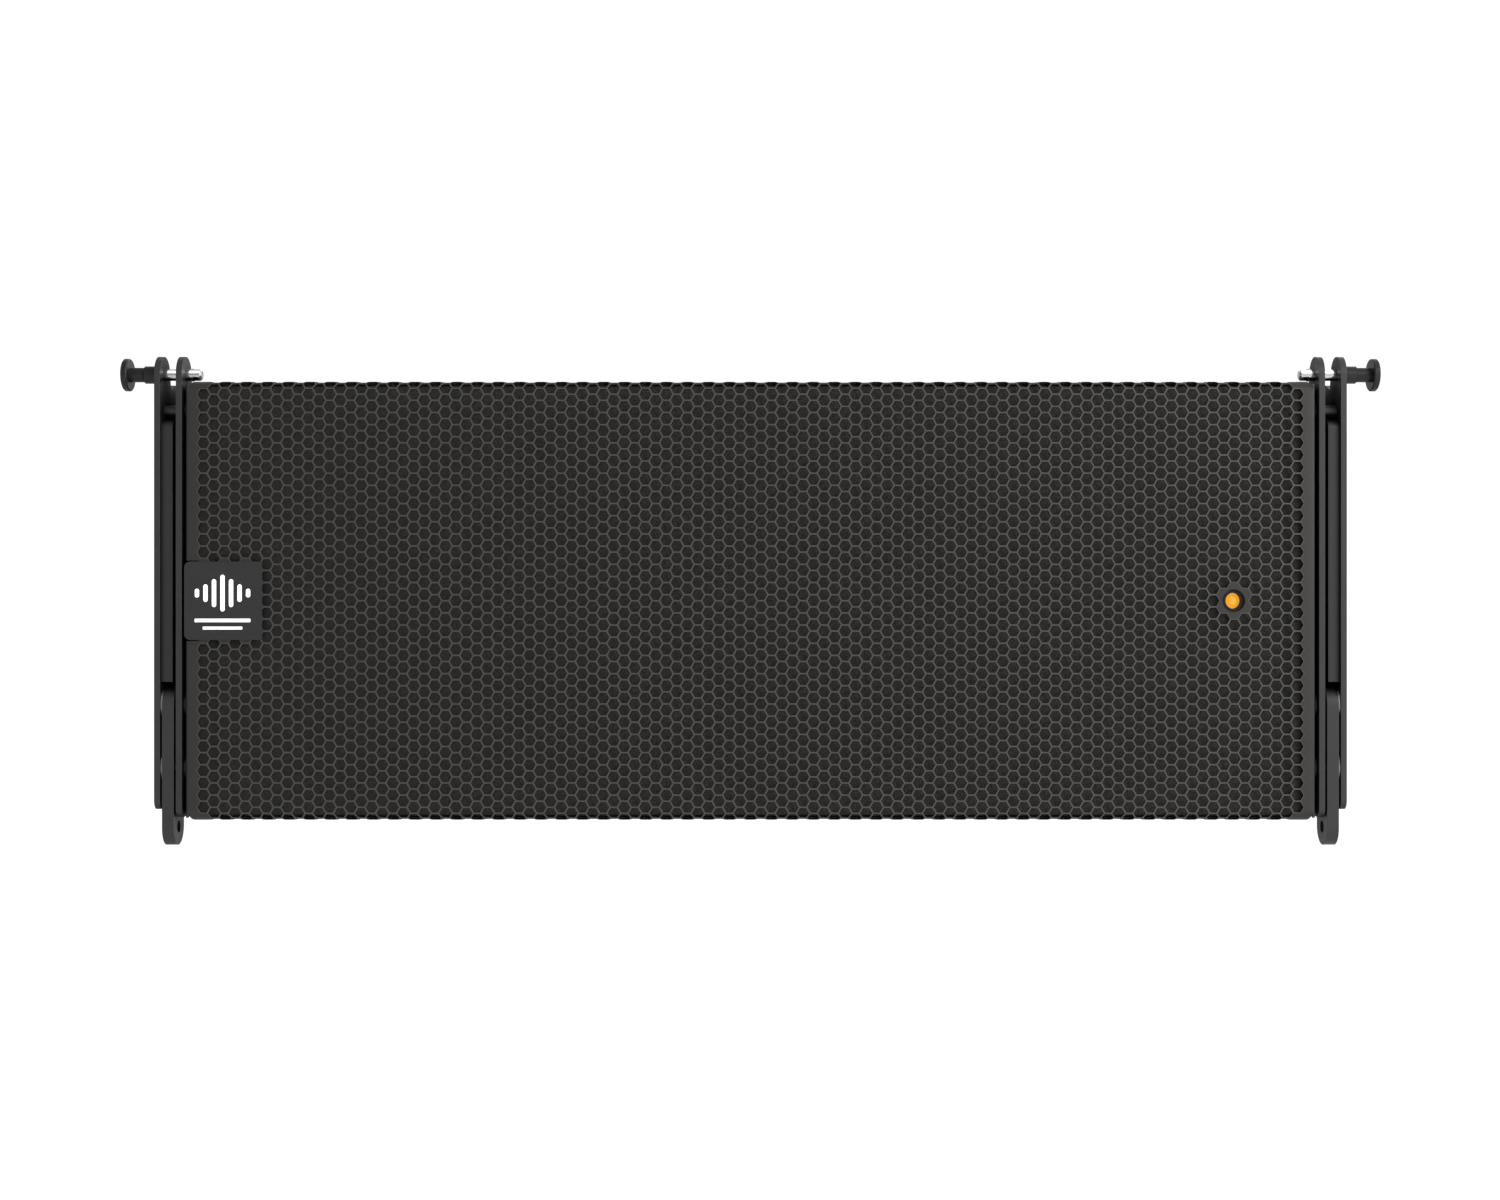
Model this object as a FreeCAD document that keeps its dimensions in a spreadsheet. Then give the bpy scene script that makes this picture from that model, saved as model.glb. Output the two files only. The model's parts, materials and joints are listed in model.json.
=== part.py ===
"""Line array speaker: a twin ten-inch cabinet with captive side rigging.

Millimetres, X to the right, the grille faces -Y, Z up, origin at the middle of the whole box.
Pieces that exist on both sides are drawn on the right (X > 0) and mirrored. Outlines of turned pieces
are (radius, distance along the axis). Cutting shapes reach a millimetre past the faces that they open.
"""

import FreeCAD, Part
import os
import re

import Sketcher

doc = FreeCAD.newDocument("LineArraySpeaker")
sheet = doc.addObject("Spreadsheet::Sheet", "dims")

SIZES = {
    # cabinet
    "half_width": 385,
    "front_half": 150.6,
    "front_y": -225,
    "grille_y": -224,
    "rim_y": -211,
    "baffle_y": -190,
    "cabinet_back": 215,
    "taper_deg": 5,
    "ply": 15,
    "side_ply": 18,
    "baffle_ply": 18,
    "divider_ply": 12,
    "divider_x": 95,
    "passage_y": 120,
    "passage_z": -82,
    "passage": 6,
    "pocket_depth": 8,
    "pocket_front": 26,
    "pocket_back": 11,
    "pocket_low": 82,
    "pocket_high": 8,
    # grille, foam, badge and status light
    "grille_sheet": 1.5,
    "grille_flange": 30,
    "grille_bend": 7,
    "grille_side_bend": 2,
    "rebate": 1.8,
    "foam_gap": 1.7,
    "foam_inset": 4,
    "foam_back_gap": 0.3,
    "badge_inner_x": -332.6,
    "badge_outer_x": -385.5,
    "badge_half": 26.7,
    "badge_corner": 4,
    "lamp_x": 329.6,
    "lamp_hole": 7,
    "lamp_lens": 5.4,
    "lamp_recess": 5,
    "lamp_gap": 0.1,
    "lamp_cup": 7.6,
    "lamp_cup_long": 13,
    "lamp_cup_floor": 9,
    "lamp_lens_long": 5.5,
    # woofers
    "woofer_x": 235,
    "woofer_frame": 128,
    "woofer_cutout": 117,
    "woofer_flange": 5,
    "cone_edge": 98,
    "coil_inner": 31.2,
    "coil_outer": 32.4,
    "woofer_screw_ring": 122.5,
    # port tubes
    "port_x": 344.5,
    "port_z": 103,
    "port_outer": 19,
    "port_inner": 17,
    "port_length": 80,
    # horn and drivers
    "mouth_x": 80,
    "mouth_z": 112,
    "slot_x": 8,
    "slot_z": 108,
    "slot_y": -130,
    "horn_wall": 3,
    "horn_flange": 3,
    "horn_flange_x": 92,
    "horn_flange_z": 122,
    "horn_back": 4,
    "horn_back_x": 30,
    "horn_back_z": 115,
    "driver_pitch": 72,
    "driver_y": -90,
    "driver_length": 50,
    "driver_radius": 34,
    "throat": 12.5,
    "throat_wall": 4,
    "throat_half": 32,
    # rigging plates
    "plate": 4,
    "inner_plate_x": 387.2,
    "outer_plate_x": 402,
    "plate_back": 225,
    "outer_plate_foot": -143,
    "inner_plate_foot": -148.5,
    "foot_round": 6.5,
    "back_round": 10,
    "lug": 12.5,
    "top_pin_z": 155,
    "hinge_pitch": 310,
    "notch_y": 26.5,
    "notch_z": 146,
    "shoulder_y": 36.6,
    "shoulder_z": 150.4,
    "pin_hole": 4.15,
    "bolt_hole": 4.2,
    "small_hole": 3.2,
    "top_bolt_z": 130.4,
    "link_bolt_high": -71,
    "link_bolt_low": -114,
    "link_bar": 8,
    "washer": 1.4,
    "washer_hole": 4.1,
    "inner_washer": 8,
    "outer_washer": 11.5,
    "thick_washer": 9,
    "access_hole": 8,
    "small_bolt": 3,
    "small_head": 5.5,
    "big_bolt": 4,
    "big_head": 7.5,
    "top_shoulder": 3.5,
    "spacer": 6,
    "inner_head_tall": 1.8,
    "dome_tall": 2.6,
    "dome_slope": 1.6,
    "sunk_tall": 3,
    "socket_share": 0.75,
    "socket_deep": 2,
    "top_sunk": 5.6,
    "top_sink": 6.2,
    "link_sunk": 7,
    "link_sink": 8,
    "link_sink_deep": 3.5,
    "side_sink": 6.5,
    "side_sink_deep": 3.3,
    "filler_foot": -55.3,
    "filler_head": 123.5,
    "filler_recess": 2.5,
    "filler_x": 394,
    "filler_deep": 20,
    "filler_round": 6,
    "grip_front": -75,
    "grip_back": 65,
    "grip_half": 45,
    "grip_corner": 20,
    "opening_gap": 4,
    "cup_gap": 4.3,
    "cup_wall": 2.7,
    "cup_floor": 3,
    "cup_depth": 45,
    "cup_rim": 6,
    "cup_flange": 1.6,
    # rear rigging
    "rear_y": 190,
    "rear_pin_z": 100,
    "splay_step": 2,
    "arm_pivot_z": -80,
    "arm_length": 130,
    "arm_second_hole": 103,
    "arm_thick": 7.9,
    "arm_stow_deg": 135,
    "arm_bore": 4.06,
    # ball-lock pins
    "pin_radius": 4,
    "pin_chamfer": 1.2,
    "pin_bore": 2,
    "pin_tip_wall": 1.5,
    "pin_end": 412,
    "fit": 0.02,
    "collar_radius": 6,
    "neck_radius": 5,
    "knob_radius": 11.2,
    "collar_end": 416.2,
    "neck_end": 425.5,
    "knob_end": 429.8,
    "front_tip": 376.4,
    "rear_tip": 379,
    "button_gap": 0.1,
    "button_well": 422.5,
    "button_tall": 3.5,
    "button_edge": 0.4,
    "button_radius": 3.5,
    "button_face": 430,
    "press": 3,
    "spindle_radius": 1.4,
    "waist_depth": 0.6,
    "waist_half": 0.9,
    "waist_slope": 0.5,
    "ball_radius": 1.5,
    "ball_from_tip": 6.3,
    "ball_proud": 0.5,
    "spindle_from_tip": 5.1,
    "spring_start": 412.6,
    "spring_pitch": 2.2,
    "spring_turns": 6,
    "spring_radius": 2.6,
    "spring_wire": 0.4,
    # rear connector panel
    "socket_x": 38,
    "dish_x": 72,
    "dish_z": 36,
    "dish_depth": 18,
    "dish_rim": 14,
    "dish_sheet": 2,
    "dish_screw_inset": 7,
    "barrel": 12,
    "barrel_gap": 0.2,
    "barrel_proud": 7,
    "socket_flange": 2.5,
    "socket_flange_x": 13,
    "socket_flange_z": 15.5,
    "barrel_length": 22,
    "plug_well": 10,
    "plug_core": 6,
    "plug_depth": 12,
    # screws: radii of shank, pilot hole and head, and the head's height
    "grille_shank": 2,
    "grille_pilot": 2.05,
    "grille_hole": 2.3,
    "grille_head": 4.5,
    "grille_head_tall": 1.5,
    "grille_screw_back": 21.5,
    "grille_screw_long": 12,
    "woofer_shank": 2.5,
    "woofer_pilot": 2.55,
    "woofer_hole": 2.8,
    "woofer_head": 4.5,
    "woofer_head_tall": 3,
    "woofer_screw_long": 14,
    "dish_shank": 1.7,
    "dish_pilot": 1.8,
    "dish_hole": 2.2,
    "dish_head": 3.6,
    "dish_head_tall": 2,
    "dish_socket_deep": 1.2,
    "dish_screw_long": 12,
    "side_shank": 3,
    "side_pilot": 3.05,
    "side_hole": 3.2,
    "side_head": 6,
    "side_head_tall": 3,
    "side_screw_long": 13,
    # crossover, cables and lining
    "board_gap": 6,
    "board_sheet": 1.6,
    "board_y": 150,
    "board_z": 70,
    "board_edge": 10,
    "post": 4,
    "coil_hole": 7,
    "capacitor": 12,
    "capacitor_long": 34,
    "cable": 2.5,
    "lining": 20,
    "lining_z": 90,
    "lining_gap": 3,
}

for row, (alias, size) in enumerate(SIZES.items(), start=1):
    sheet.set(f"A{row}", alias.replace("_", " "))
    sheet.set(f"B{row}", str(size))
    sheet.setAlias(f"B{row}", alias)
doc.recompute()

# bolt and screw places as (y, z) formulas, and where the small screws of a ring sit
SPACER_BOLTS = [(-150, 95), (-150, -95), (20, 92), (20, -102), (110, 92), (205, -5)]
SIDE_SCREWS = [(-170, 70), (-170, -70), (-20, 75), (-20, -75), (130, 85), (80, -95)]
GRILLE_SCREWS = (-300, 0, 300)
# coils as ((y, z), radius, height) and capacitors as (y, z), both on the crossover board
COILS = [((40, 35), 22, 24), ((40, -30), 18, 20)]
CAPACITORS = [(110, -40), (110, -5), (110, 30)]
SPLAY_HOLES = 6
WOOFER_SCREWS = 8
WINDOWS = 6
PIN_Y = "(front_y + lug)"
LINK_Z = "(top_pin_z - hinge_pitch)"

nodes = {}
names_used = {}


def cells(formula):
    """The formula with each alias pointing at its cell of the sheet."""
    return re.sub(r"[a-z]+(_[a-z0-9]+)*", lambda m: f"dims.{m[0]}" if m[0] in SIZES else m[0], str(formula))


def value(formula):
    """The number that a formula gives now."""
    result = sheet.evalExpression(cells(formula))
    return float(getattr(result, "Value", result))


def bind(item, prop, formula):
    item.setExpression(prop, cells(formula))


def add(kind, name):
    """A new object, with a number after its name where the name is taken."""
    names_used[name] = names_used.get(name, 0) + 1
    return doc.addObject(kind, f"{name}_{names_used[name]}")


def put(item, x=0, y=0, z=0):
    for axis, place in (("x", x), ("y", y), ("z", z)):
        bind(item, f"Placement.Base.{axis}", place)


def turn(item, along):
    """Turns a piece drawn along Z so that it lies along X or Y."""
    turns = {"x": ((0, 1, 0), 90), "y": ((1, 0, 0), -90), "z": ((0, 0, 1), 0)}
    axis, angle = turns[along]
    item.Placement = FreeCAD.Placement(FreeCAD.Vector(), FreeCAD.Rotation(FreeCAD.Vector(*axis), angle))


def box(name, x, y, z):
    """A block from low to high on each axis."""
    block = add("Part::Box", name)
    for size, (low, high) in (("Length", x), ("Width", y), ("Height", z)):
        bind(block, size, f"({high}) - ({low})")
    put(block, x[0], y[0], z[0])
    return block


def rod(name, along, radius, span, across):
    """A round bar along an axis, over a span of it, at its place on the other two axes."""
    bar = add("Part::Cylinder", name)
    turn(bar, along)
    bind(bar, "Radius", radius)
    bind(bar, "Height", f"({span[1]}) - ({span[0]})")
    first, second = across
    places = {"x": (span[0], first, second), "y": (first, span[0], second), "z": (first, second, span[0])}
    put(bar, *places[along])
    return bar


def cone(name, along, radii, span, across):
    taper = add("Part::Cone", name)
    turn(taper, along)
    bind(taper, "Radius1", radii[0])
    bind(taper, "Radius2", radii[1])
    bind(taper, "Height", f"({span[1]}) - ({span[0]})")
    first, second = across
    places = {"x": (span[0], first, second), "y": (first, span[0], second)}
    put(taper, *places[along])
    return taper


def hex_socket(name, along, corner_radius, span, across):
    """The space of a six-sided drive, let into the end of a screw."""
    space = add("Part::Prism", name)
    turn(space, along)
    space.Polygon = 6
    bind(space, "Circumradius", corner_radius)
    bind(space, "Height", f"({span[1]}) - ({span[0]})")
    first, second = across
    places = {"x": (span[0], first, second), "y": (first, span[0], second)}
    put(space, *places[along])
    return space


def wedge(name, near, far, x, z, x_far=None, z_far=None):
    """A block between two depths whose width and height change evenly between them."""
    block = add("Part::Wedge", name)
    for prop, size in (("Ymin", near), ("Ymax", far)):
        bind(block, prop, size)
    for prop, span in (("X", x), ("Z", z), ("X2", x_far or x), ("Z2", z_far or z)):
        bind(block, f"{prop}min", span[0])
        bind(block, f"{prop}max", span[1])
    return block


def cut(name, base, *tools):
    for tool in tools:
        trimmed = add("Part::Cut", name)
        trimmed.Base = base
        trimmed.Tool = tool
        base = trimmed
    return base


def group(name, *pieces):
    """Separate solids kept in one object."""
    bundle = add("Part::Compound", name)
    bundle.Links = list(pieces)
    return bundle


def join(name, *pieces):
    """Pieces that touch or cross, made into one solid."""
    whole = add("Part::MultiFuse", name)
    whole.Shapes = list(pieces)
    whole.Refine = True
    return whole


def mirrored(name, piece):
    """The same piece on the other side of the middle plane."""
    twin = add("Part::Mirroring", name)
    twin.Source = piece
    twin.Base = FreeCAD.Vector(0, 0, 0)
    twin.Normal = FreeCAD.Vector(1, 0, 0)
    return twin


def both(name, piece):
    return group(name, piece, mirrored(name, piece))


def node(label, piece):
    """Marks an object as one finished sub-part."""
    piece.Label = label
    nodes[label] = piece
    return piece


def outline(body, role, points):
    """A closed outline of straight lines in one of a body's own planes, each corner held by two formulas."""
    sketch = body.newObject("Sketcher::SketchObject", f"{body.Name}_outline")
    plane = next(part for part in body.Origin.OriginFeatures if part.Role == role)
    sketch.AttachmentSupport = (plane, "")
    sketch.MapMode = "FlatFace"
    corners = [FreeCAD.Vector(value(across), value(up), 0) for across, up in points]
    count = len(corners)
    for index in range(count):
        sketch.addGeometry(Part.LineSegment(corners[index], corners[(index + 1) % count]))
    for index in range(count):
        sketch.addConstraint(Sketcher.Constraint("Coincident", index, 2, (index + 1) % count, 1))
    for index, (across, up) in enumerate(points):
        for kind, size, number in (("DistanceX", across, corners[index].x), ("DistanceY", up, corners[index].y)):
            held = sketch.addConstraint(Sketcher.Constraint(kind, -1, 1, index, 1, number))
            bind(sketch, f"Constraints[{held}]", size)
    return sketch


def turned(name, profile, along, place):
    """A round piece from its half profile of (radius, distance along its axis)."""
    body = add("PartDesign::Body", name)
    sketch = outline(body, "XZ_Plane", profile)
    spin = body.newObject("PartDesign::Revolution", f"{body.Name}_spin")
    spin.Profile = sketch
    spin.ReferenceAxis = (sketch, ["V_Axis"])
    spin.Angle = 360
    turn(body, along)
    put(body, *place)
    return body


def flat(name, profile, span, rounds=()):
    """A plate from its side outline of (y, z), thick along X, with some corners rounded.

    rounds holds pairs of a radius and the numbers of the corners that have it.
    """
    body = add("PartDesign::Body", name)
    sketch = outline(body, "YZ_Plane", profile)
    pad = body.newObject("PartDesign::Pad", f"{body.Name}_pad")
    pad.Profile = sketch
    bind(pad, "Length", f"({span[1]}) - ({span[0]})")
    put(body, span[0])
    solid = pad
    for radius, corners in rounds:
        doc.recompute()
        wanted = [(value(profile[corner][0]), value(profile[corner][1])) for corner in corners]
        edges = []
        for number, edge in enumerate(solid.Shape.Edges, start=1):
            first, last = edge.Vertexes[0].Point, edge.Vertexes[-1].Point
            across = abs(first.x - last.x) > 0.1
            if across and any(abs(first.y - y) < 0.01 and abs(first.z - z) < 0.01 for y, z in wanted):
                edges.append(f"Edge{number}")
        soft = body.newObject("PartDesign::Fillet", f"{body.Name}_round")
        soft.Base = (solid, edges)
        bind(soft, "Radius", radius)
        solid = soft
    return body


def outer_half(y):
    """Half the cabinet's height at a depth: its top and bottom both slope."""
    return f"(front_half - tan(taper_deg) * ({y} - front_y))"


def inner_half(y):
    return f"({outer_half(y)} - ply)"


def cavity(name, near, far, half_x):
    """A block that fills the inside height between two depths."""
    near_half, far_half = inner_half(near), inner_half(far)
    return wedge(name, near, far, (f"-({half_x})", half_x), (f"-{near_half}", near_half),
                 z_far=(f"-{far_half}", far_half))


# --- cabinet ---


def grille_screw_places():
    return [(x, "grille_y + grille_screw_back") for x in GRILLE_SCREWS]


def below(span, way):
    """The span itself, or its mirror image under the middle plane where way is negative."""
    return span if way > 0 else (f"-({span[1]})", f"-({span[0]})")


def flange_rebate(name, way):
    """The shallow step that the grille's top or bottom flange lies in, as steep as the panel."""
    near, far = "rim_y - 1", "grille_y + grille_flange + 1"
    low, high = [below((f"{outer_half(y)} - rebate", "front_half + 1"), way) for y in (near, far)]
    return wedge(name, near, far, ("-half_width - 1", "half_width + 1"), low, z_far=high)


def top_or_bottom(label, way):
    """Sloping panel, rebated at the front for the grille's flange, with pilot holes for its screws."""
    low, high = [below((inner_half(y), outer_half(y)), way) for y in ("rim_y", "cabinet_back")]
    x = ("side_ply - half_width", "half_width - side_ply")
    panel = wedge(label, "rim_y", "cabinet_back", x, low, z_far=high)
    tools = [flange_rebate(f"{label}_rebate", way)]
    for place in grille_screw_places():
        depth = below(("front_half - grille_screw_long - 1", "front_half"), way)
        tools.append(rod(f"{label}_pilot", "z", "grille_pilot", depth, place))
    node(label, cut(label, panel, *tools))


def side_panel():
    """Outer side with the handle opening, a pocket behind the index holes and screw pilot holes."""
    near, far = outer_half("rim_y"), outer_half("cabinet_back")
    panel = wedge("side", "rim_y", "cabinet_back", ("half_width - side_ply", "half_width"),
                  (f"-{near}", near), z_far=(f"-{far}", far))
    tools = [
        box("side_rebate", ("half_width - rebate", "half_width + 1"),
            ("rim_y - 1", "grille_y + grille_flange + 1"), ("-front_half", "front_half")),
        box("side_handle", ("half_width - side_ply - 1", "half_width + 1"),
            ("grip_front + opening_gap", "grip_back - opening_gap"),
            ("opening_gap - grip_half", "grip_half - opening_gap")),
        box("side_pocket", ("half_width - pocket_depth", "half_width + 1"),
            ("rear_y - pocket_front", "rear_y + pocket_back"),
            ("rear_pin_z - pocket_low", "rear_pin_z + pocket_high")),
        flange_rebate("side_top_rebate", 1),
        flange_rebate("side_bottom_rebate", -1),
    ]
    for y, z in SIDE_SCREWS:
        span = ("half_width - side_screw_long - 1", "half_width + 1")
        tools.append(rod("side_pilot", "x", "side_pilot", span, (y, z)))
    right = cut("side", panel, *tools)
    node("right_side_panel", right)
    node("left_side_panel", mirrored("side", right))


def rear_panel():
    panel = cavity("rear", "cabinet_back - ply", "cabinet_back", "half_width - side_ply")
    opening = box("rear_opening", ("-dish_x - 0.5", "dish_x + 0.5"),
                  ("cabinet_back - ply - 1", "cabinet_back + 1"), ("-dish_z - 0.5", "dish_z + 0.5"))
    tools = [opening]
    for x, z in connector_corners():
        span = ("cabinet_back - dish_screw_long - 1", "cabinet_back + 1")
        tools.append(rod("rear_pilot", "y", "dish_pilot", span, (x, z)))
    node("rear_panel", cut("rear", panel, *tools))


def front_baffle():
    """Board that carries the two woofers, the horn and the port tubes."""
    back = "baffle_y + baffle_ply"
    board = cavity("baffle", "baffle_y", back, "half_width - side_ply")
    through = ("baffle_y - 1", f"{back} + 1")
    tools = [box("baffle_mouth", ("-mouth_x - horn_wall - 1", "mouth_x + horn_wall + 1"), through,
                 ("-mouth_z - horn_wall - 1", "mouth_z + horn_wall + 1"))]
    for side in (-1, 1):
        tools.append(rod("baffle_cutout", "y", "woofer_cutout", through, (f"{side} * woofer_x", 0)))
        for x, z in ring_places(WOOFER_SCREWS, "woofer_screw_ring"):
            span = ("baffle_y - 1", "baffle_y + woofer_screw_long + 1")
            tools.append(rod("baffle_pilot", "y", "woofer_pilot", span, (f"{side} * woofer_x + {x}", z)))
        for up in (-1, 1):
            tools.append(rod("baffle_port", "y", "port_outer", through, (f"{side} * port_x", f"{up} * port_z")))
    node("front_baffle", cut("baffle", board, *tools))


def chamber_dividers():
    near, far = "baffle_y + baffle_ply", "cabinet_back - ply"
    near_half, far_half = inner_half(near), inner_half(far)
    wall = wedge("divider", near, far, ("divider_x", "divider_x + divider_ply"),
                 (f"-{near_half}", near_half), z_far=(f"-{far_half}", far_half))
    passage = rod("divider_passage", "x", "passage", ("divider_x - 1", "divider_x + divider_ply + 1"),
                  ("passage_y", "passage_z"))
    node("chamber_dividers", both("divider", cut("divider", wall, passage)))


# --- front ---


def tray(name, inset):
    """The space inside a sheet-metal tray, with rounded long and short front edges."""
    flange_end = "grille_y + grille_flange"
    x = (f"{inset} - half_width", f"half_width - {inset}")
    near, far = f"(front_half - {inset})", f"({outer_half(flange_end)} - {inset})"
    block = wedge(name, f"grille_y + {inset}", flange_end, x, (f"-{near}", near), z_far=(f"-{far}", far))
    doc.recompute()
    long_bend = value(f"grille_bend - {inset}")
    side_bend = value(f"max(grille_side_bend - {inset}; 0.5)")
    front = value(f"grille_y + {inset}")
    rounds = []
    for number, edge in enumerate(block.Shape.Edges, start=1):
        ends = [vertex.Point for vertex in edge.Vertexes]
        if all(abs(end.y - front) < 0.01 for end in ends):
            radius = long_bend if abs(ends[0].x - ends[1].x) > 1 else side_bend
            rounds.append((number, radius, radius))
    soft = add("Part::Fillet", name)
    soft.Base = block
    soft.Edges = rounds
    return soft


def grille():
    """Folded sheet: a flat face with flanges that run back over the cabinet."""
    through = ("grille_y - 1", "grille_y + grille_sheet + 1")
    tools = [tray("grille_inside", "grille_sheet"), rod("grille_lamp_hole", "y", "lamp_hole", through, ("lamp_x", 0))]
    for way in (-1, 1):
        for place in grille_screw_places():
            span = below(("front_half - 6", "front_half + 1"), way)
            tools.append(rod("grille_screw_hole", "z", "grille_hole", span, place))
    node("grille", cut("grille", tray("grille_outside", "0"), *tools))


def grille_foam():
    front = "grille_y + grille_sheet + foam_gap"
    sheet_of_foam = box("foam", ("foam_inset - half_width", "half_width - foam_inset"),
                        (front, "rim_y - foam_back_gap"), ("foam_inset - front_half", "front_half - foam_inset"))
    window = rod("foam_window", "y", "lamp_hole + 1.5", (f"{front} - 1", "rim_y + 1"), ("lamp_x", 0))
    node("grille_foam", cut("foam", sheet_of_foam, window))


def grille_screws():
    """Low pan heads on both flanges."""
    screws = []
    for way in (-1, 1):
        for x, y in grille_screw_places():
            head = below(("front_half - grille_head_tall", "front_half"), way)
            shank = below(("front_half - grille_screw_long", "front_half - grille_head_tall"), way)
            screws.append(join("grille_screw", rod("grille_screw_head", "z", "grille_head", head, (x, y)),
                               rod("grille_screw_shank", "z", "grille_shank", shank, (x, y))))
    node("grille_screws", group("grille_screws", *screws))


def badge_plate():
    """Thin plate over the grille's left edge, its outer corners rounded."""
    body = add("PartDesign::Body", "badge")
    corners = [("badge_outer_x", "-badge_half"), ("badge_inner_x", "-badge_half"),
               ("badge_inner_x", "badge_half"), ("badge_outer_x", "badge_half")]
    sketch = outline(body, "XZ_Plane", corners)
    pad = body.newObject("PartDesign::Pad", "badge_pad")
    pad.Profile = sketch
    bind(pad, "Length", "grille_y - front_y")
    doc.recompute()
    edges = []
    for number, edge in enumerate(pad.Shape.Edges, start=1):
        first, last = edge.Vertexes[0].Point, edge.Vertexes[-1].Point
        if abs(first.y - last.y) > 0.1 and abs(first.x - value("badge_outer_x")) < 0.01:
            edges.append(f"Edge{number}")
    soft = body.newObject("PartDesign::Fillet", "badge_round")
    soft.Base = (pad, edges)
    bind(soft, "Radius", "badge_corner")
    put(body, 0, "grille_y", 0)
    node("badge_plate", body)


def status_lamp():
    """A closed cup behind the grille and the lens that it holds."""
    front = "(grille_y + grille_sheet + 0.2)"
    lens_front = "(grille_y + lamp_recess)"
    bore = "lamp_lens + lamp_gap"
    cup = [("0", "lamp_cup_long"), ("lamp_cup", "lamp_cup_long"), ("lamp_cup", "0"), (bore, "0"),
           (bore, "lamp_cup_floor"), ("0", "lamp_cup_floor")]
    node("lamp_housing", turned("lamp_housing", cup, "y", ("lamp_x", front, 0)))
    lens = [("0", "0"), ("lamp_lens * 0.5", "0.4"), ("lamp_lens * 0.85", "1.4"), ("lamp_lens", "3"),
            ("lamp_lens", "lamp_lens_long"), ("0", "lamp_lens_long")]
    node("lamp_lens", turned("lamp_lens", lens, "y", ("lamp_x", lens_front, 0)))


# --- drivers ---


def ring_places(count, radius):
    """Places around a circle as (x, z) formulas, the first half a step above the X axis."""
    step = 360 / count
    turns = [step * (k + 0.5) for k in range(count)]
    return [(f"{radius} * cos({turn_deg})", f"{radius} * sin({turn_deg})") for turn_deg in turns]


def woofer_basket():
    """Cast frame: a flange on the baffle, a sloping wall with windows and a seat for the motor."""
    body = add("PartDesign::Body", "basket")
    profile = [("woofer_frame", "-woofer_flange"), ("woofer_frame", "0"), ("114", "0"), ("66", "87"),
               ("66", "90"), ("40", "90"), ("40", "86"), ("62", "86"), ("109", "0"), ("109", "-woofer_flange")]
    sketch = outline(body, "XZ_Plane", profile)
    spin = body.newObject("PartDesign::Revolution", "basket_spin")
    spin.Profile = sketch
    spin.ReferenceAxis = (sketch, ["V_Axis"])
    spin.Angle = 360
    corners = [("72", "-18"), ("100", "-26"), ("100", "26"), ("72", "18")]
    window = body.newObject("PartDesign::Pocket", "basket_window")
    window.Profile = outline(body, "XY_Plane", corners)
    window.Type = "ThroughAll"
    window.Midplane = True
    pattern = body.newObject("PartDesign::PolarPattern", "basket_windows")
    pattern.Originals = [window]
    pattern.Axis = (window.Profile[0], ["N_Axis"])
    pattern.Angle = 360
    pattern.Occurrences = WINDOWS
    body.Tip = pattern
    turn(body, "y")
    put(body, "woofer_x", "baffle_y", 0)
    tools = []
    for x, z in ring_places(WOOFER_SCREWS, "woofer_screw_ring"):
        span = ("baffle_y - woofer_flange - 1", "baffle_y + 1")
        tools.append(rod("basket_hole", "y", "woofer_hole", span, (f"woofer_x + {x}", z)))
    node("woofer_baskets", both("basket", cut("basket", body, *tools)))


def woofer_motor():
    """Steel and magnet pot with a ring-shaped gap for the voice coil."""
    pot = [("0", "4"), ("30", "4"), ("30", "36"), ("34.5", "36"), ("34.5", "0"), ("65", "0"), ("65", "42"),
           ("55", "50"), ("0", "50")]
    motor = turned("motor", pot, "y", ("woofer_x", "baffle_y + 90", 0))
    node("woofer_motors", both("motor", motor))


def woofer_cone():
    """Paper cone, domed dust cap and the coil former that reaches into the motor's gap."""
    shell = [("cone_edge", "-4"), ("60", "12"), ("coil_outer", "36"), ("coil_outer", "110"),
             ("coil_inner", "110"), ("coil_inner", "22"), ("20", "14"), ("0", "11"), ("0", "9.5"),
             ("20", "12.5"), ("34", "25"), ("60", "10.5"), ("cone_edge", "-5.5")]
    right = turned("cone", shell, "y", ("woofer_x", "baffle_y", 0))
    node("right_woofer_cone", right)
    node("left_woofer_cone", mirrored("cone", right))


def woofer_suspension():
    """Half-roll surround and the flat spider behind the cone."""
    roll = [("cone_edge + 0.2", "-6"), ("101", "-6"), ("104", "-10.5"), ("107", "-6"), ("108.8", "-6"),
            ("108.8", "-4.6"), ("106", "-4.6"), ("104", "-8.5"), ("102", "-4.6"), ("cone_edge + 0.2", "-4.6")]
    spider = [("coil_outer + 0.2", "60"), ("61", "60"), ("61", "61"), ("coil_outer + 0.2", "61")]
    place = ("woofer_x", "baffle_y", 0)
    right = group("suspension", turned("surround", roll, "y", place), turned("spider", spider, "y", place))
    node("right_woofer_suspension", right)
    node("left_woofer_suspension", mirrored("suspension", right))


def woofer_screws():
    screws = []
    for x, z in ring_places(WOOFER_SCREWS, "woofer_screw_ring"):
        place = (f"woofer_x + {x}", z)
        flange = "(baffle_y - woofer_flange)"
        head = rod("woofer_screw_head", "y", "woofer_head", (f"{flange} - woofer_head_tall", flange), place)
        shank = rod("woofer_screw_shank", "y", "woofer_shank", (flange, "baffle_y + woofer_screw_long"), place)
        screws.append(join("woofer_screw", head, shank))
    node("woofer_screws", both("woofer_screws", group("woofer_screw_ring", *screws)))


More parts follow.
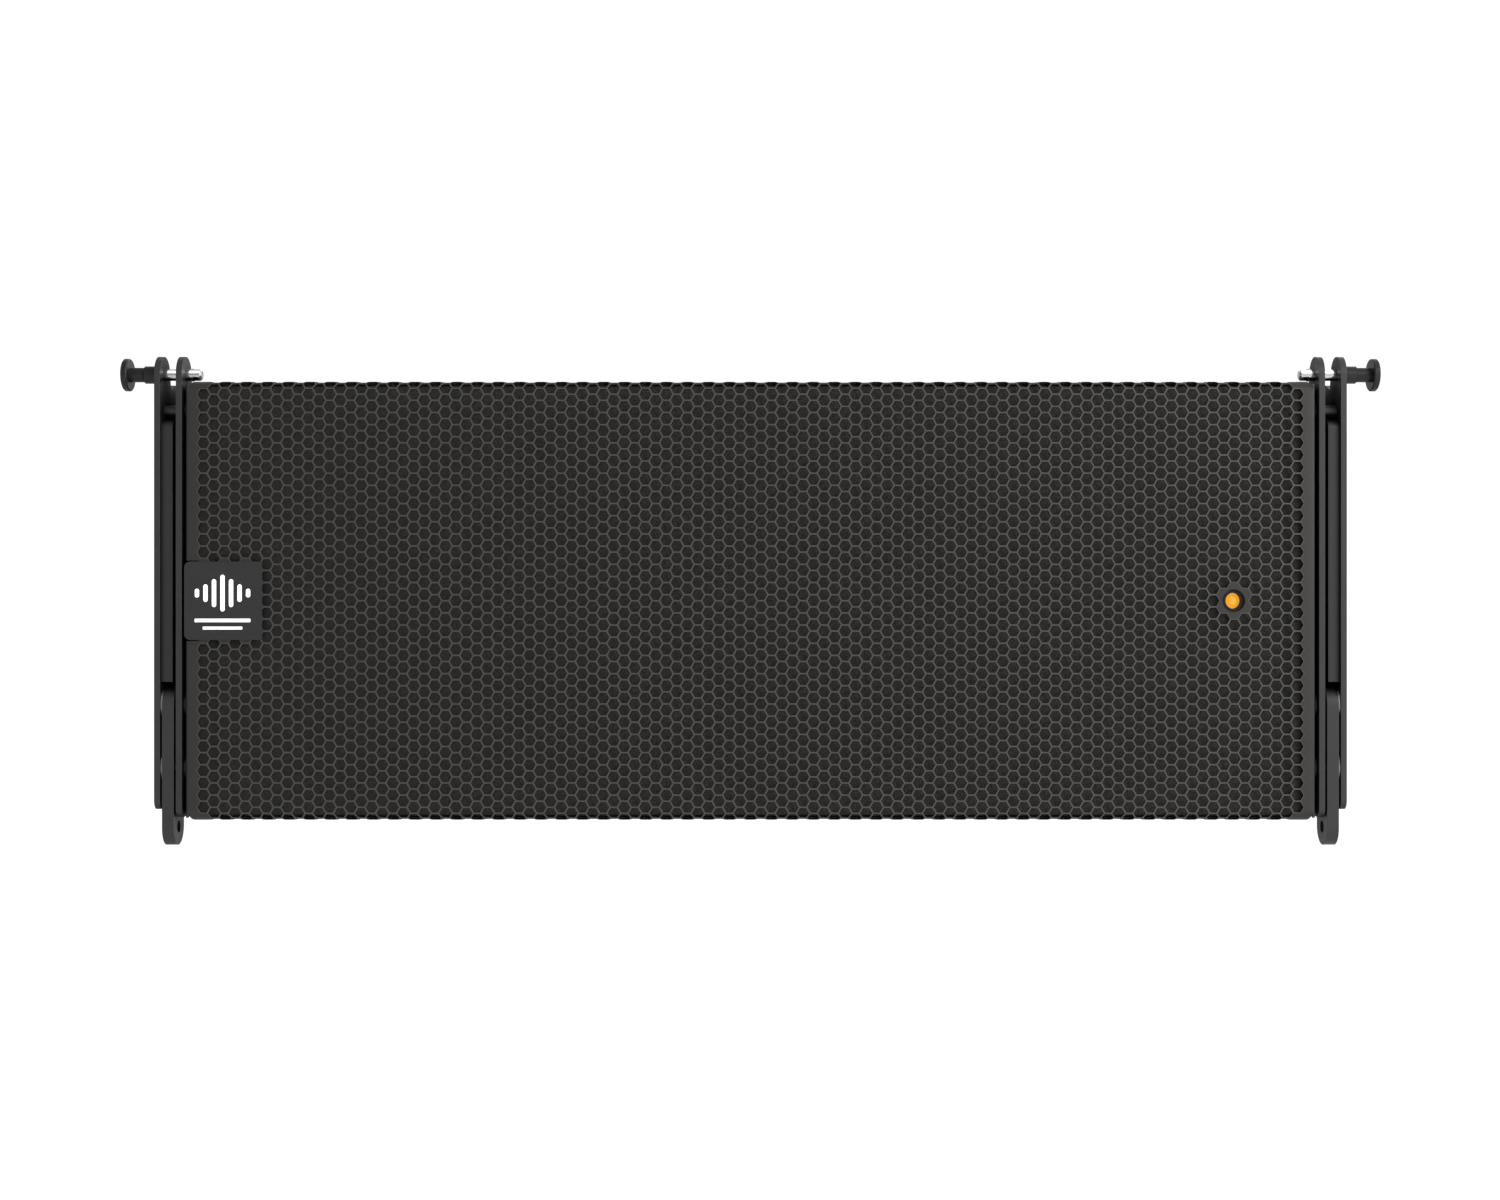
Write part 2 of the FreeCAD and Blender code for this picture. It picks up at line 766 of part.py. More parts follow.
def port_tubes():
    tubes = []
    for up in (-1, 1):
        span = ("baffle_y", "baffle_y + port_length")
        place = ("port_x", f"{up} * port_z")
        tubes.append(cut("port", rod("port", "y", "port_outer", span, place),
                         rod("port_bore", "y", "port_inner", span, place)))
    node("port_tubes", both("port_tubes", group("port_pair", *tubes)))


def horn_flare():
    """Flange on the baffle, a flare that narrows to a tall slot, and a rear flange for the throats."""
    wall_x, wall_z = "(mouth_x + horn_wall)", "(mouth_z + horn_wall)"
    slot_wall_x, slot_wall_z = "(slot_x + horn_wall)", "(slot_z + horn_wall)"
    flange = box("horn_flange", ("-horn_flange_x", "horn_flange_x"), ("baffle_y - horn_flange", "baffle_y"),
                 ("-horn_flange_z", "horn_flange_z"))
    back = box("horn_back", ("-horn_back_x", "horn_back_x"), ("slot_y - horn_back", "slot_y"),
               ("-horn_back_z", "horn_back_z"))
    flare = wedge("horn_outer", "baffle_y", "slot_y", (f"-{wall_x}", wall_x), (f"-{wall_z}", wall_z),
                  (f"-{slot_wall_x}", slot_wall_x), (f"-{slot_wall_z}", slot_wall_z))
    bore = wedge("horn_bore", "baffle_y - horn_flange", "slot_y", ("-mouth_x", "mouth_x"),
                 ("-mouth_z", "mouth_z"), ("-slot_x", "slot_x"), ("-slot_z", "slot_z"))
    node("horn_flare", cut("horn", join("horn", flange, flare, back), bore))


def driver_rows():
    return [f"({k} * driver_pitch)" for k in (-1, 0, 1)]


def throat_adapters():
    """Each one leads a round throat into its third of the slot."""
    pieces = []
    for z in driver_rows():
        outer = wedge("throat_outer", "slot_y", "driver_y - throat_wall",
                      ("-slot_x - throat_wall", "slot_x + throat_wall"),
                      (f"{z} - throat_half - horn_wall", f"{z} + throat_half + horn_wall"),
                      ("-throat - throat_wall", "throat + throat_wall"),
                      (f"{z} - throat - throat_wall", f"{z} + throat + throat_wall"))
        flange = rod("throat_flange", "y", "driver_radius", ("driver_y - throat_wall", "driver_y"), (0, z))
        passage = wedge("throat_bore", "slot_y", "driver_y", ("-slot_x", "slot_x"),
                        (f"{z} - throat_half", f"{z} + throat_half"),
                        ("-throat", "throat"), (f"{z} - throat", f"{z} + throat"))
        pieces.append(cut("throat", join("throat", outer, flange), passage))
    node("throat_adapters", group("throats", *pieces))


def driver_bodies():
    profile = [("throat", "0"), ("driver_radius", "0"), ("driver_radius", "driver_length"),
               ("0", "driver_length"), ("0", "34"), ("27", "34"), ("27", "16"), ("throat", "16")]
    pieces = [turned("driver", profile, "y", (0, "driver_y", z)) for z in driver_rows()]
    node("driver_bodies", group("drivers", *pieces))


def driver_diaphragms():
    """Thin domes that float in the drivers' chambers."""
    dome = [("0", "17.5"), ("12", "19"), ("20", "22"), ("25", "26"), ("25", "26.6"), ("20", "22.6"),
            ("12", "19.6"), ("0", "18.1")]
    pieces = [turned("dome", dome, "y", (0, "driver_y", z)) for z in driver_rows()]
    node("driver_diaphragms", group("domes", *pieces))


# --- inside ---


def crossover():
    """Board on four posts on the left divider, with coils and capacitors."""
    wall = "(-divider_x)"
    back = f"({wall} + board_gap)"
    face = f"({back} + board_sheet)"
    board = box("board", (back, face), (0, "board_y"), ("-board_z", "board_z"))
    posts = []
    for y in ("board_edge", "board_y - board_edge"):
        for z in ("board_edge - board_z", "board_z - board_edge"):
            posts.append(rod("post", "x", "post", (wall, back), (y, z)))
    node("crossover_board", join("crossover_board", board, *posts))
    parts = []
    for place, radius, height in COILS:
        coil = rod("coil", "x", radius, (face, f"{face} + {height}"), place)
        parts.append(cut("coil", coil, rod("coil_hole", "x", "coil_hole", (face, f"{face} + {height}"), place)))
    for place in CAPACITORS:
        parts.append(rod("capacitor", "x", "capacitor", (face, f"{face} + capacitor_long"), place))
    node("crossover_parts", group("crossover_parts", *parts))


def cable(name, points):
    """A round cable along a smooth path; its shape is set here because a sheet has no path cells."""
    path = Part.BSplineCurve()
    path.interpolate([FreeCAD.Vector(*[value(size) for size in point]) for point in points])
    wire = Part.Wire(path.toShape())
    start, way = path.value(path.FirstParameter), path.tangent(path.FirstParameter)[0]
    ring = Part.Wire(Part.makeCircle(value("cable"), start, way))
    item = add("Part::Feature", name)
    item.Shape = wire.makePipeShell([ring], True, True)
    return item


def wiring_loom():
    """Cables from the crossover to both woofers, to the middle driver and to the sockets."""
    board = "-divider_x + 11"
    past_wall = "divider_x + divider_ply + 10"
    passage = ("passage_y", "passage_z")
    to_woofer = [("divider_x + 42", 98, -80), ("divider_x + 55", 40, -74), ("woofer_x - 78", -66, -60)]
    left_woofer = [(f"-({x})", y, z) for x, y, z in to_woofer]
    runs = [
        [(board, 130, -56), ("-divider_x + 17", 126, -70), ("-divider_x + 9", 122, "passage_z + 2"),
         ("-divider_x - 6", *passage), (f"-({past_wall})", *passage), *left_woofer],
        [(board, 90, -60), (-40, 112, -64), ("divider_x - 15", *passage), (past_wall, *passage), *to_woofer],
        [(board, 75, 0), (-50, 60, 6), (-20, 20, 4), (0, -39, 0)],
        [(board, 135, 55), (-60, 160, 40), ("-socket_x", 174, 0)],
    ]
    node("wiring_loom", group("loom", *[cable("cable", run) for run in runs]))


def damping_lining():
    """Soft pads on the rear panel, one in each woofer chamber."""
    back = "cabinet_back - ply - 0.5"
    pad = box("lining", ("divider_x + divider_ply + lining_gap", "half_width - side_ply - lining_gap"),
              (f"{back} - lining", back), ("-lining_z", "lining_z"))
    node("damping_lining", both("lining", pad))


def connector_corners():
    """Screw places of the rear connector plate."""
    return [(f"{across} * (dish_x + dish_screw_inset)", f"{up} * (dish_z + dish_screw_inset)")
            for across in (-1, 1) for up in (-1, 1)]


def socket_places():
    return [(f"{side} * socket_x", 0) for side in (-1, 1)]


def connector_plate():
    """Dished plate in the rear panel."""
    face = "(cabinet_back + dish_sheet)"
    flange = box("connector_flange", ("-dish_x - dish_rim", "dish_x + dish_rim"), ("cabinet_back", face),
                 ("-dish_z - dish_rim", "dish_z + dish_rim"))
    shell = box("connector_shell", ("-dish_x", "dish_x"), (f"{face} - dish_depth - dish_sheet", face),
                ("-dish_z", "dish_z"))
    hollow = box("connector_hollow", ("dish_sheet - dish_x", "dish_x - dish_sheet"),
                 (f"{face} - dish_depth", f"{face} + 1"), ("dish_sheet - dish_z", "dish_z - dish_sheet"))
    tools = [hollow]
    for place in socket_places():
        span = ("cabinet_back - dish_depth - 3", "cabinet_back")
        tools.append(rod("connector_hole", "y", "barrel + barrel_gap", span, place))
    for place in connector_corners():
        tools.append(rod("connector_screw_hole", "y", "dish_hole", ("cabinet_back - 1", f"{face} + 1"), place))
    node("connector_plate", cut("connector", join("connector", flange, shell), *tools))


def speaker_sockets():
    """Square flange on the dish floor, barrel through it and a ring-shaped well for the plug."""
    floor = "(cabinet_back + dish_sheet - dish_depth)"
    rim = f"{floor} + barrel_proud"
    pieces = []
    for x, z in socket_places():
        flange = box("socket_flange", (f"{x} - socket_flange_x", f"{x} + socket_flange_x"),
                     (floor, f"{floor} + socket_flange"), (f"{z} - socket_flange_z", f"{z} + socket_flange_z"))
        barrel = rod("socket_barrel", "y", "barrel", (f"{floor} - barrel_length", rim), (x, z))
        space = rod("socket_well", "y", "plug_well", (f"{floor} - plug_depth", f"{rim} + 1"), (x, z))
        core = rod("socket_core", "y", "plug_core", (f"{floor} - plug_depth - 1", f"{rim} + 2"), (x, z))
        well = cut("socket_well", space, core)
        pieces.append(cut("socket", join("socket", flange, barrel), well))
    node("speaker_sockets", group("sockets", *pieces))


def connector_screws():
    face = "(cabinet_back + dish_sheet)"
    pieces = []
    for place in connector_corners():
        head = rod("connector_head", "y", "dish_head", (face, f"{face} + dish_head_tall"), place)
        shank = rod("connector_shank", "y", "dish_shank", ("cabinet_back - dish_screw_long", face), place)
        end = f"({face} + dish_head_tall)"
        socket = hex_socket("connector_socket", "y", "dish_shank * socket_share",
                            (f"{end} - dish_socket_deep", f"{end} + 1"), place)
        pieces.append(cut("connector_screw", join("connector_screw", head, shank), socket))
    node("connector_screws", group("connector_screws", *pieces))


def handle_cups():
    """Finger cup let into each side, behind the opening in the plates."""
    flange = box("cup_flange", ("half_width", "half_width + cup_flange"),
                 ("grip_front - cup_rim", "grip_back + cup_rim"), ("-grip_half - cup_rim", "grip_half + cup_rim"))
    shell = box("cup_shell", ("half_width - cup_depth", "half_width"), ("grip_front + cup_gap", "grip_back - cup_gap"),
                ("cup_gap - grip_half", "grip_half - cup_gap"))
    inset = "(cup_gap + cup_wall)"
    hollow = box("cup_hollow", ("half_width - cup_depth + cup_floor", "half_width + cup_flange + 1"),
                 (f"grip_front + {inset}", f"grip_back - {inset}"), (f"{inset} - grip_half", f"grip_half - {inset}"))
    node("handle_cups", both("handle_cups", cut("cup", join("cup", flange, shell), hollow)))


# --- rigging ---


def splay_holes():
    """Index holes on an arc around the front hinge, one every step of splay."""
    deep, drop = f"(rear_y - {PIN_Y})", "(rear_pin_z - top_pin_z)"
    places = []
    for number in range(SPLAY_HOLES):
        swing = f"({number} * splay_step)"
        places.append((f"{PIN_Y} + {deep} * cos{swing} + {drop} * sin{swing}",
                       f"top_pin_z - {deep} * sin{swing} + {drop} * cos{swing}"))
    return places


def stowed(distance):
    """A point on the stowed rear arm, at a distance from its pivot."""
    return f"rear_y + {distance} * cos(arm_stow_deg)", f"arm_pivot_z + {distance} * sin(arm_stow_deg)"


def side_plate(name, inner_face, foot):
    """Side plate with a round lug at the top front, a notch behind it, and a top edge that follows the cabinet."""
    span = (inner_face, f"{inner_face} + plate")
    fall = "tan(taper_deg)"
    profile = [
        ("front_y", foot),
        ("plate_back", f"{foot} + {fall} * (plate_back - front_y)"),
        ("plate_back", f"shoulder_z - {fall} * (plate_back - front_y - shoulder_y)"),
        ("front_y + shoulder_y", "shoulder_z"),
        ("front_y + notch_y", "notch_z"),
        ("front_y + 2 * lug", "top_pin_z"),
        ("front_y", "top_pin_z"),
    ]
    sheet_metal = flat(name, profile, span, [("foot_round", (0,)), ("back_round", (1, 2))])
    lug = rod(f"{name}_lug", "x", "lug", span, (PIN_Y, "top_pin_z"))
    through = (f"{inner_face} - 1", f"{inner_face} + plate + 1")
    grip = [("grip_front", "-grip_half"), ("grip_back", "-grip_half"), ("grip_back", "grip_half"),
            ("grip_front", "grip_half")]
    tools = [flat(f"{name}_grip", grip, through, [("grip_corner", (0, 1, 2, 3))])]
    holes = [(PIN_Y, "top_pin_z", "pin_hole"), (PIN_Y, "top_bolt_z", "small_hole"),
             (PIN_Y, "link_bolt_high", "bolt_hole"), (PIN_Y, "link_bolt_low", "bolt_hole"),
             ("rear_y", "arm_pivot_z", "bolt_hole"), (*stowed("arm_length"), "pin_hole")]
    holes += [(y, z, "pin_hole") for y, z in splay_holes()]
    holes += [(y, z, "small_hole") for y, z in SPACER_BOLTS]
    for y, z, radius in holes:
        tools.append(rod(f"{name}_hole", "x", radius, through, (y, z)))
    return join(name, sheet_metal, lug), tools


def inner_plates():
    """Countersunk for the screws into the cabinet's side."""
    plate, tools = side_plate("inner_plate", "inner_plate_x", "inner_plate_foot")
    face = "inner_plate_x + plate"
    for place in SIDE_SCREWS:
        tools.append(rod("inner_screw_hole", "x", "side_hole", ("inner_plate_x - 1", face), place))
        span = (f"{face} - side_sink_deep", f"{face} + 0.2")
        tools.append(cone("inner_countersink", "x", ("side_shank", "side_sink"), span, place))
    right = cut("inner_plate", plate, *tools)
    node("right_inner_plate", right)
    node("left_inner_plate", mirrored("inner_plate", right))


def outer_plates():
    """Countersunk for the cross bolts, with access holes to the screws behind."""
    plate, tools = side_plate("outer_plate", "outer_plate_x", "outer_plate_foot")
    face = "outer_plate_x + plate"
    for place in SIDE_SCREWS:
        tools.append(rod("access_hole", "x", "access_hole", ("outer_plate_x - 1", f"{face} + 1"), place))
    for z in ("link_bolt_high", "link_bolt_low"):
        span = (f"{face} - link_sink_deep", f"{face} + 0.2")
        tools.append(cone("link_countersink", "x", ("big_bolt", "link_sink"), span, (PIN_Y, z)))
    span = (f"{face} - sunk_tall", f"{face} + 0.2")
    tools.append(cone("top_countersink", "x", ("small_bolt", "top_sink"), span, (PIN_Y, "top_bolt_z")))
    right = cut("outer_plate", plate, *tools)
    node("right_outer_plate", right)
    node("left_outer_plate", mirrored("outer_plate", right))


def spacer_bars():
    """Filler bar welded to the outer plate, its top end rounded."""
    near = "front_y + filler_recess"
    far = f"{near} + filler_deep"
    profile = [(near, "filler_foot"), (far, "filler_foot"), (far, "filler_head"), (near, "filler_head")]
    bar = flat("filler", profile, ("filler_x", "outer_plate_x"), [("filler_round", (2, 3))])
    node("spacer_bars", both("spacer_bars", bar))


LINK_X = "(inner_plate_x + plate + washer)"


def bar_with_eyes(name, length, thick):
    """A flat bar with full round ends, lying along Y from its first eye, its own hole places left to the caller."""
    span = (0, thick)
    middle = box(f"{name}_middle", span, (0, length), ("-lug", "lug"))
    near = rod(f"{name}_near", "x", "lug", span, (0, 0))
    far = rod(f"{name}_far", "x", "lug", span, (length, 0))
    return join(name, middle, near, far)


def front_links():
    """Hanging link between the plates: two bolt holes and the hinge bore that reaches the cabinet below."""
    length = f"(link_bolt_high - {LINK_Z})"
    bar = bar_with_eyes("link", length, "link_bar")
    tools = []
    for distance, radius in ((0, "pin_hole"), ("(hinge_pitch - top_pin_z + link_bolt_low)", "bolt_hole"),
                             (length, "bolt_hole")):
        tools.append(rod("link_hole", "x", radius, (-1, "link_bar + 1"), (distance, 0)))
    link = cut("link", bar, *tools)
    link.Placement = FreeCAD.Placement(FreeCAD.Vector(), FreeCAD.Rotation(FreeCAD.Vector(1, 0, 0), 90))
    put(link, LINK_X, PIN_Y, LINK_Z)
    node("front_links", both("front_links", link))


def rear_arm():
    """Swinging arm on the rear pivot, with two holes at its free end, stowed up and forward."""
    bar = bar_with_eyes("arm", "arm_length", "arm_thick")
    tools = [rod("arm_hole", "x", radius, (-1, "arm_thick + 1"), (distance, 0))
             for distance, radius in ((0, "arm_bore"), ("arm_second_hole", "pin_hole"), ("arm_length", "pin_hole"))]
    arm = cut("arm", bar, *tools)
    turn_to = value("arm_stow_deg")
    arm.Placement = FreeCAD.Placement(FreeCAD.Vector(), FreeCAD.Rotation(FreeCAD.Vector(1, 0, 0), turn_to))
    put(arm, f"{LINK_X} + (link_bar - arm_thick) / 2", "rear_y", "arm_pivot_z")
    node("right_rear_arm", arm)
    node("left_rear_arm", mirrored("arm", arm))


def cross_bolt(name, place, shank, shoulder, head, countersunk):
    """A bolt through both plates: low inner head, shoulder between the plates, flush or domed outer head."""
    inner, outer = "inner_plate_x", "(outer_plate_x + plate)"
    pieces = [
        rod(name, "x", head, (f"{inner} - inner_head_tall", inner), place),
        rod(name, "x", shank, (inner, f"{outer} - 1"), place),
        rod(name, "x", shoulder, (f"{inner} + plate", "outer_plate_x"), place),
    ]
    end = outer if countersunk else f"({outer} + dome_tall)"
    if countersunk:
        pieces.append(cone(name, "x", (shank, countersunk), (f"{outer} - sunk_tall", outer), place))
    else:
        pieces.append(rod(name, "x", shank, (f"{outer} - 1", outer), place))
        pieces.append(cone(name, "x", (head, f"{head} - dome_slope"), (outer, end), place))
    socket = hex_socket(name, "x", f"{shank} * socket_share", (f"{end} - socket_deep", f"{end} + 1"), place)
    return cut(name, join(name, *pieces), socket)


def rigging_bolts():
    """Top cross bolt, link bolts, arm pivots and spacer bolts of each side."""
    bolts = [cross_bolt("top_bolt", (PIN_Y, "top_bolt_z"), "small_bolt", "top_shoulder", "small_head", "top_sunk")]
    for z in ("link_bolt_high", "link_bolt_low"):
        bolts.append(cross_bolt("link_bolt", (PIN_Y, z), "big_bolt", "big_bolt", "big_head", "link_sunk"))
    bolts.append(cross_bolt("arm_pivot", ("rear_y", "arm_pivot_z"), "big_bolt", "big_bolt", "big_head", None))
    for place in SPACER_BOLTS:
        bolts.append(cross_bolt("spacer_bolt", place, "small_bolt", "spacer", "small_head", None))
    node("rigging_bolts", both("rigging_bolts", group("bolts", *bolts)))


def side_screws():
    """Countersunk screws that hold the inner plate to the cabinet."""
    face = "(inner_plate_x + plate)"
    screws = []
    for place in SIDE_SCREWS:
        neck = f"{face} - side_head_tall"
        head = cone("side_screw_head", "x", ("side_shank", "side_head"), (neck, face), place)
        shank = rod("side_screw_shank", "x", "side_shank", ("half_width - side_screw_long", neck), place)
        socket = hex_socket("side_screw_socket", "x", "side_shank * socket_share",
                            (f"{face} - socket_deep", f"{face} + 1"), place)
        screws.append(cut("side_screw", join("side_screw", head, shank), socket))
    node("side_screws", both("side_screws", group("side_screw_set", *screws)))


def ring(name, outer, inner, span, place):
    return cut(name, rod(name, "x", outer, span, place), rod(f"{name}_bore", "x", inner, span, place))


def rigging_washers():
    """Thin washers beside the links and arms, wider on the outer side, and thick ones behind the inner plate."""
    near = ("inner_plate_x + plate", LINK_X)
    far = (f"{LINK_X} + link_bar", "outer_plate_x")
    rings = []
    for y, z in ((PIN_Y, "link_bolt_high"), (PIN_Y, "link_bolt_low"), ("rear_y", "arm_pivot_z")):
        for radius, span in (("inner_washer", near), ("outer_washer", far)):
            rings.append(ring("thin_washer", radius, "washer_hole", span, (y, z)))
    for place in SIDE_SCREWS:
        rings.append(ring("thick_washer", "thick_washer", "side_hole", ("half_width", "inner_plate_x"), place))
    node("rigging_washers", both("rigging_washers", group("washers", *rings)))


# --- ball-lock pins ---


def pin_shank(tip, place):
    """Hollow shank with a chamfered tip and two side holes for the balls."""
    profile = [("0", tip), ("pin_radius - pin_chamfer", tip), ("pin_radius", f"{tip} + pin_chamfer"),
               ("pin_radius", "pin_end"), ("pin_bore", "pin_end"), ("pin_bore", f"{tip} + pin_tip_wall"),
               ("0", f"{tip} + pin_tip_wall")]
    shank = turned("shank", profile, "x", (0, *place))
    y, z = place
    span = (f"{z} - pin_radius - 2", f"{z} + pin_radius + 2")
    window = rod("ball_window", "z", "ball_radius + 0.05", span, (f"{tip} + ball_from_tip", y))
    return cut("shank", shank, window)


def pin_knob(place):
    """Collar, neck and flange in one turned piece, bored for the shank, the spring and the button."""
    profile = [("pin_radius + fit", "outer_plate_x + plate"), ("collar_radius", "outer_plate_x + plate"),
               ("collar_radius", "collar_end - 1"), ("neck_radius", "collar_end"), ("neck_radius", "neck_end"),
               ("knob_radius - 0.6", "neck_end"), ("knob_radius", "neck_end + 0.6"),
               ("knob_radius", "knob_end - 0.8"), ("knob_radius - 0.8", "knob_end"),
               ("button_radius + button_gap", "knob_end"), ("button_radius + button_gap", "button_well"),
               ("pin_radius + fit", "button_well")]
    return turned("knob", profile, "x", (0, *place))


def pin_button(tip, place):
    """Button with a long spindle whose waist frees the balls when it is pressed."""
    start = f"{tip} + spindle_from_tip"
    waist = f"({tip} + ball_from_tip + press)"
    slope = "(waist_half + waist_slope)"
    narrow = "spindle_radius - waist_depth"
    under = "button_face - button_tall"
    profile = [("0", start), ("spindle_radius", start), ("spindle_radius", f"{waist} - {slope}"),
               (narrow, f"{waist} - waist_half"), (narrow, f"{waist} + waist_half"),
               ("spindle_radius", f"{waist} + {slope}"), ("spindle_radius", under), ("button_radius", under),
               ("button_radius", "button_face - button_edge"), ("button_radius - button_edge", "button_face"),
               ("0", "button_face")]
    return turned("button", profile, "x", (0, *place))


def pin_latch(tip, place):
    """The two balls and the spring that returns the button."""
    y, z = place
    balls = []
    for way in (-1, 1):
        ball = add("Part::Sphere", "ball")
        bind(ball, "Radius", "ball_radius")
        put(ball, f"{tip} + ball_from_tip", y, f"{z} + {way} * (pin_radius + ball_proud - ball_radius)")
        balls.append(ball)
    path = add("Part::Helix", "spring_path")
    bind(path, "Pitch", "spring_pitch")
    bind(path, "Height", "spring_pitch * spring_turns")
    bind(path, "Radius", "spring_radius")
    wire = add("Part::Circle", "spring_wire")
    bind(wire, "Radius", "spring_wire")
    start = FreeCAD.Vector(value("spring_radius"), 0, 0)
    wire.Placement = FreeCAD.Placement(start, FreeCAD.Rotation(FreeCAD.Vector(1, 0, 0), 90))
    spring = add("Part::Sweep", "spring")
    spring.Sections = [wire]
    spring.Spine = (path, ["Edge1"])
    spring.Solid = True
    spring.Frenet = True
    turn(spring, "x")
    put(spring, "spring_start", y, z)
    return group("latch", *balls, spring)


def ball_lock_pins():
    places = {"front": ("front_tip", (PIN_Y, "top_pin_z")), "rear": ("rear_tip", ("rear_y", "rear_pin_z"))}
    for end, (tip, place) in places.items():
        pieces = {"shank": pin_shank(tip, place), "knob": pin_knob(place), "button": pin_button(tip, place),
                  "ball_latch": pin_latch(tip, place)}
        for part_name, piece in pieces.items():
            node(f"right_{end}_pin_{part_name}", piece)
            node(f"left_{end}_pin_{part_name}", mirrored(part_name, piece))


def build():
    top_or_bottom("top_panel", 1)
    top_or_bottom("bottom_panel", -1)
    side_panel()
    rear_panel()
    front_baffle()
    chamber_dividers()
    grille()
    grille_foam()
    grille_screws()
    badge_plate()
    status_lamp()
    woofer_basket()
    woofer_motor()
    woofer_cone()
    woofer_suspension()
    woofer_screws()
    port_tubes()
    horn_flare()
    throat_adapters()
    driver_bodies()
    driver_diaphragms()
    crossover()
    wiring_loom()
    damping_lining()
    connector_plate()
    speaker_sockets()
    connector_screws()
    handle_cups()
    inner_plates()
    outer_plates()
    spacer_bars()
    front_links()
    rear_arm()
    rigging_bolts()
    side_screws()
    rigging_washers()
    ball_lock_pins()


def check_and_export():
    """Stops on any failed object or broken shape, then writes one STEP file for each sub-part."""
    doc.recompute()
    failed = [item.Label for item in doc.Objects if {"Invalid", "Error"} & set(item.State)]
    if failed:
        raise RuntimeError(f"failed objects: {failed}")
    for label, piece in nodes.items():
        if piece.Shape.isNull() or not piece.Shape.isValid() or not piece.Shape.Solids:
            raise RuntimeError(f"{label} has no sound solid")
    os.makedirs("parts", exist_ok=True)
    for label, piece in nodes.items():
        piece.Shape.exportStep(f"parts/{label}.step")
    print(f"{len(nodes)} sub-parts written")


build()
check_and_export()
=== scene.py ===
"""Looks of the line array speaker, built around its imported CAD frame. Metres, the grille faces -Y, Z up."""

import json
import math

import bmesh
import bpy
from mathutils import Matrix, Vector, noise


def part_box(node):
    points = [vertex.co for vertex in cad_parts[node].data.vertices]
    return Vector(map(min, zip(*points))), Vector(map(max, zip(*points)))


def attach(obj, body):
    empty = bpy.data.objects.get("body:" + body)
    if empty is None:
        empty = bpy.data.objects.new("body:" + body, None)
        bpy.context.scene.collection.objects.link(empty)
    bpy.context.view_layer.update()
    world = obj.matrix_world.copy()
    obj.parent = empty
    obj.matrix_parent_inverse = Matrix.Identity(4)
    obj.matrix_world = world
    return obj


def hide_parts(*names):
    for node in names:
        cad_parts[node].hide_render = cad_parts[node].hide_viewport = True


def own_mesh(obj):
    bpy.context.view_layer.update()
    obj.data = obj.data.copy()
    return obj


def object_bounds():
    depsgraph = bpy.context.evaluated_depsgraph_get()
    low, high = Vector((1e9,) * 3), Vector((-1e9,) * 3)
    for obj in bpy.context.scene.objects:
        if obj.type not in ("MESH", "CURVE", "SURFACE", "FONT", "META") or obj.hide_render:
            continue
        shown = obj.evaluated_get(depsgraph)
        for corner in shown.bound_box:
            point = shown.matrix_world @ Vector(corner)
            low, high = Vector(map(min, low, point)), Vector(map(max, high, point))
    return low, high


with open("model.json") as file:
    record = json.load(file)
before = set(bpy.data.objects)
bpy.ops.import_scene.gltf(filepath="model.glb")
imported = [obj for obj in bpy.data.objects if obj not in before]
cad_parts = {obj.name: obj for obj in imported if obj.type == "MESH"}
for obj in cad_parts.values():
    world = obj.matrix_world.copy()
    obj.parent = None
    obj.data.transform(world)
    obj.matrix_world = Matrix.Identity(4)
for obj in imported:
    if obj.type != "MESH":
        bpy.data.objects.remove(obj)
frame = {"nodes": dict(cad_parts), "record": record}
cad_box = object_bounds()

MM = 0.001
CABINET = "cabinet"

# --- places, from the frame ---
grille_low, grille_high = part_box("grille")
badge_low, badge_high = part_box("badge_plate")
lamp_low, lamp_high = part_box("lamp_lens")
foam_low, foam_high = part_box("grille_foam")

# --- perforated sheet ---
SHEET = 1.5 * MM
FRONT = grille_low.y
HALF_WIDTH = grille_high.x
TAPER = math.radians(5)
PITCH = 8.275 * MM
HOLE = 7.15 * MM
COLUMN = PITCH * math.cos(math.radians(30))
COLUMNS = 52
ROWS = 19
BEND = 7 * MM
SIDE_BEND = 2 * MM
BEND_ANGLE = math.radians(90) + TAPER
BEND_CENTRE = Vector((0, FRONT + BEND, grille_high.z - BEND))
BEND_STEPS = 14
EDGE = HALF_WIDTH - SIDE_BEND
SIDE_TOP = grille_high.z - 2 * MM
LAMP = Vector(((lamp_low.x + lamp_high.x) / 2, 0, 0))
LAMP_HOLE = 7.7 * MM
LAMP_HOLE_X = LAMP.x - 0.4 * MM
BAR_SLOT = 2
FOAM_SETBACK = 1.3 * MM
NOTCH_HALF = badge_high.z + 0.7 * MM
NOTCH_EDGE = -(COLUMNS * COLUMN + PITCH / math.sqrt(3))


# ======================================================================================
# materials
# ======================================================================================


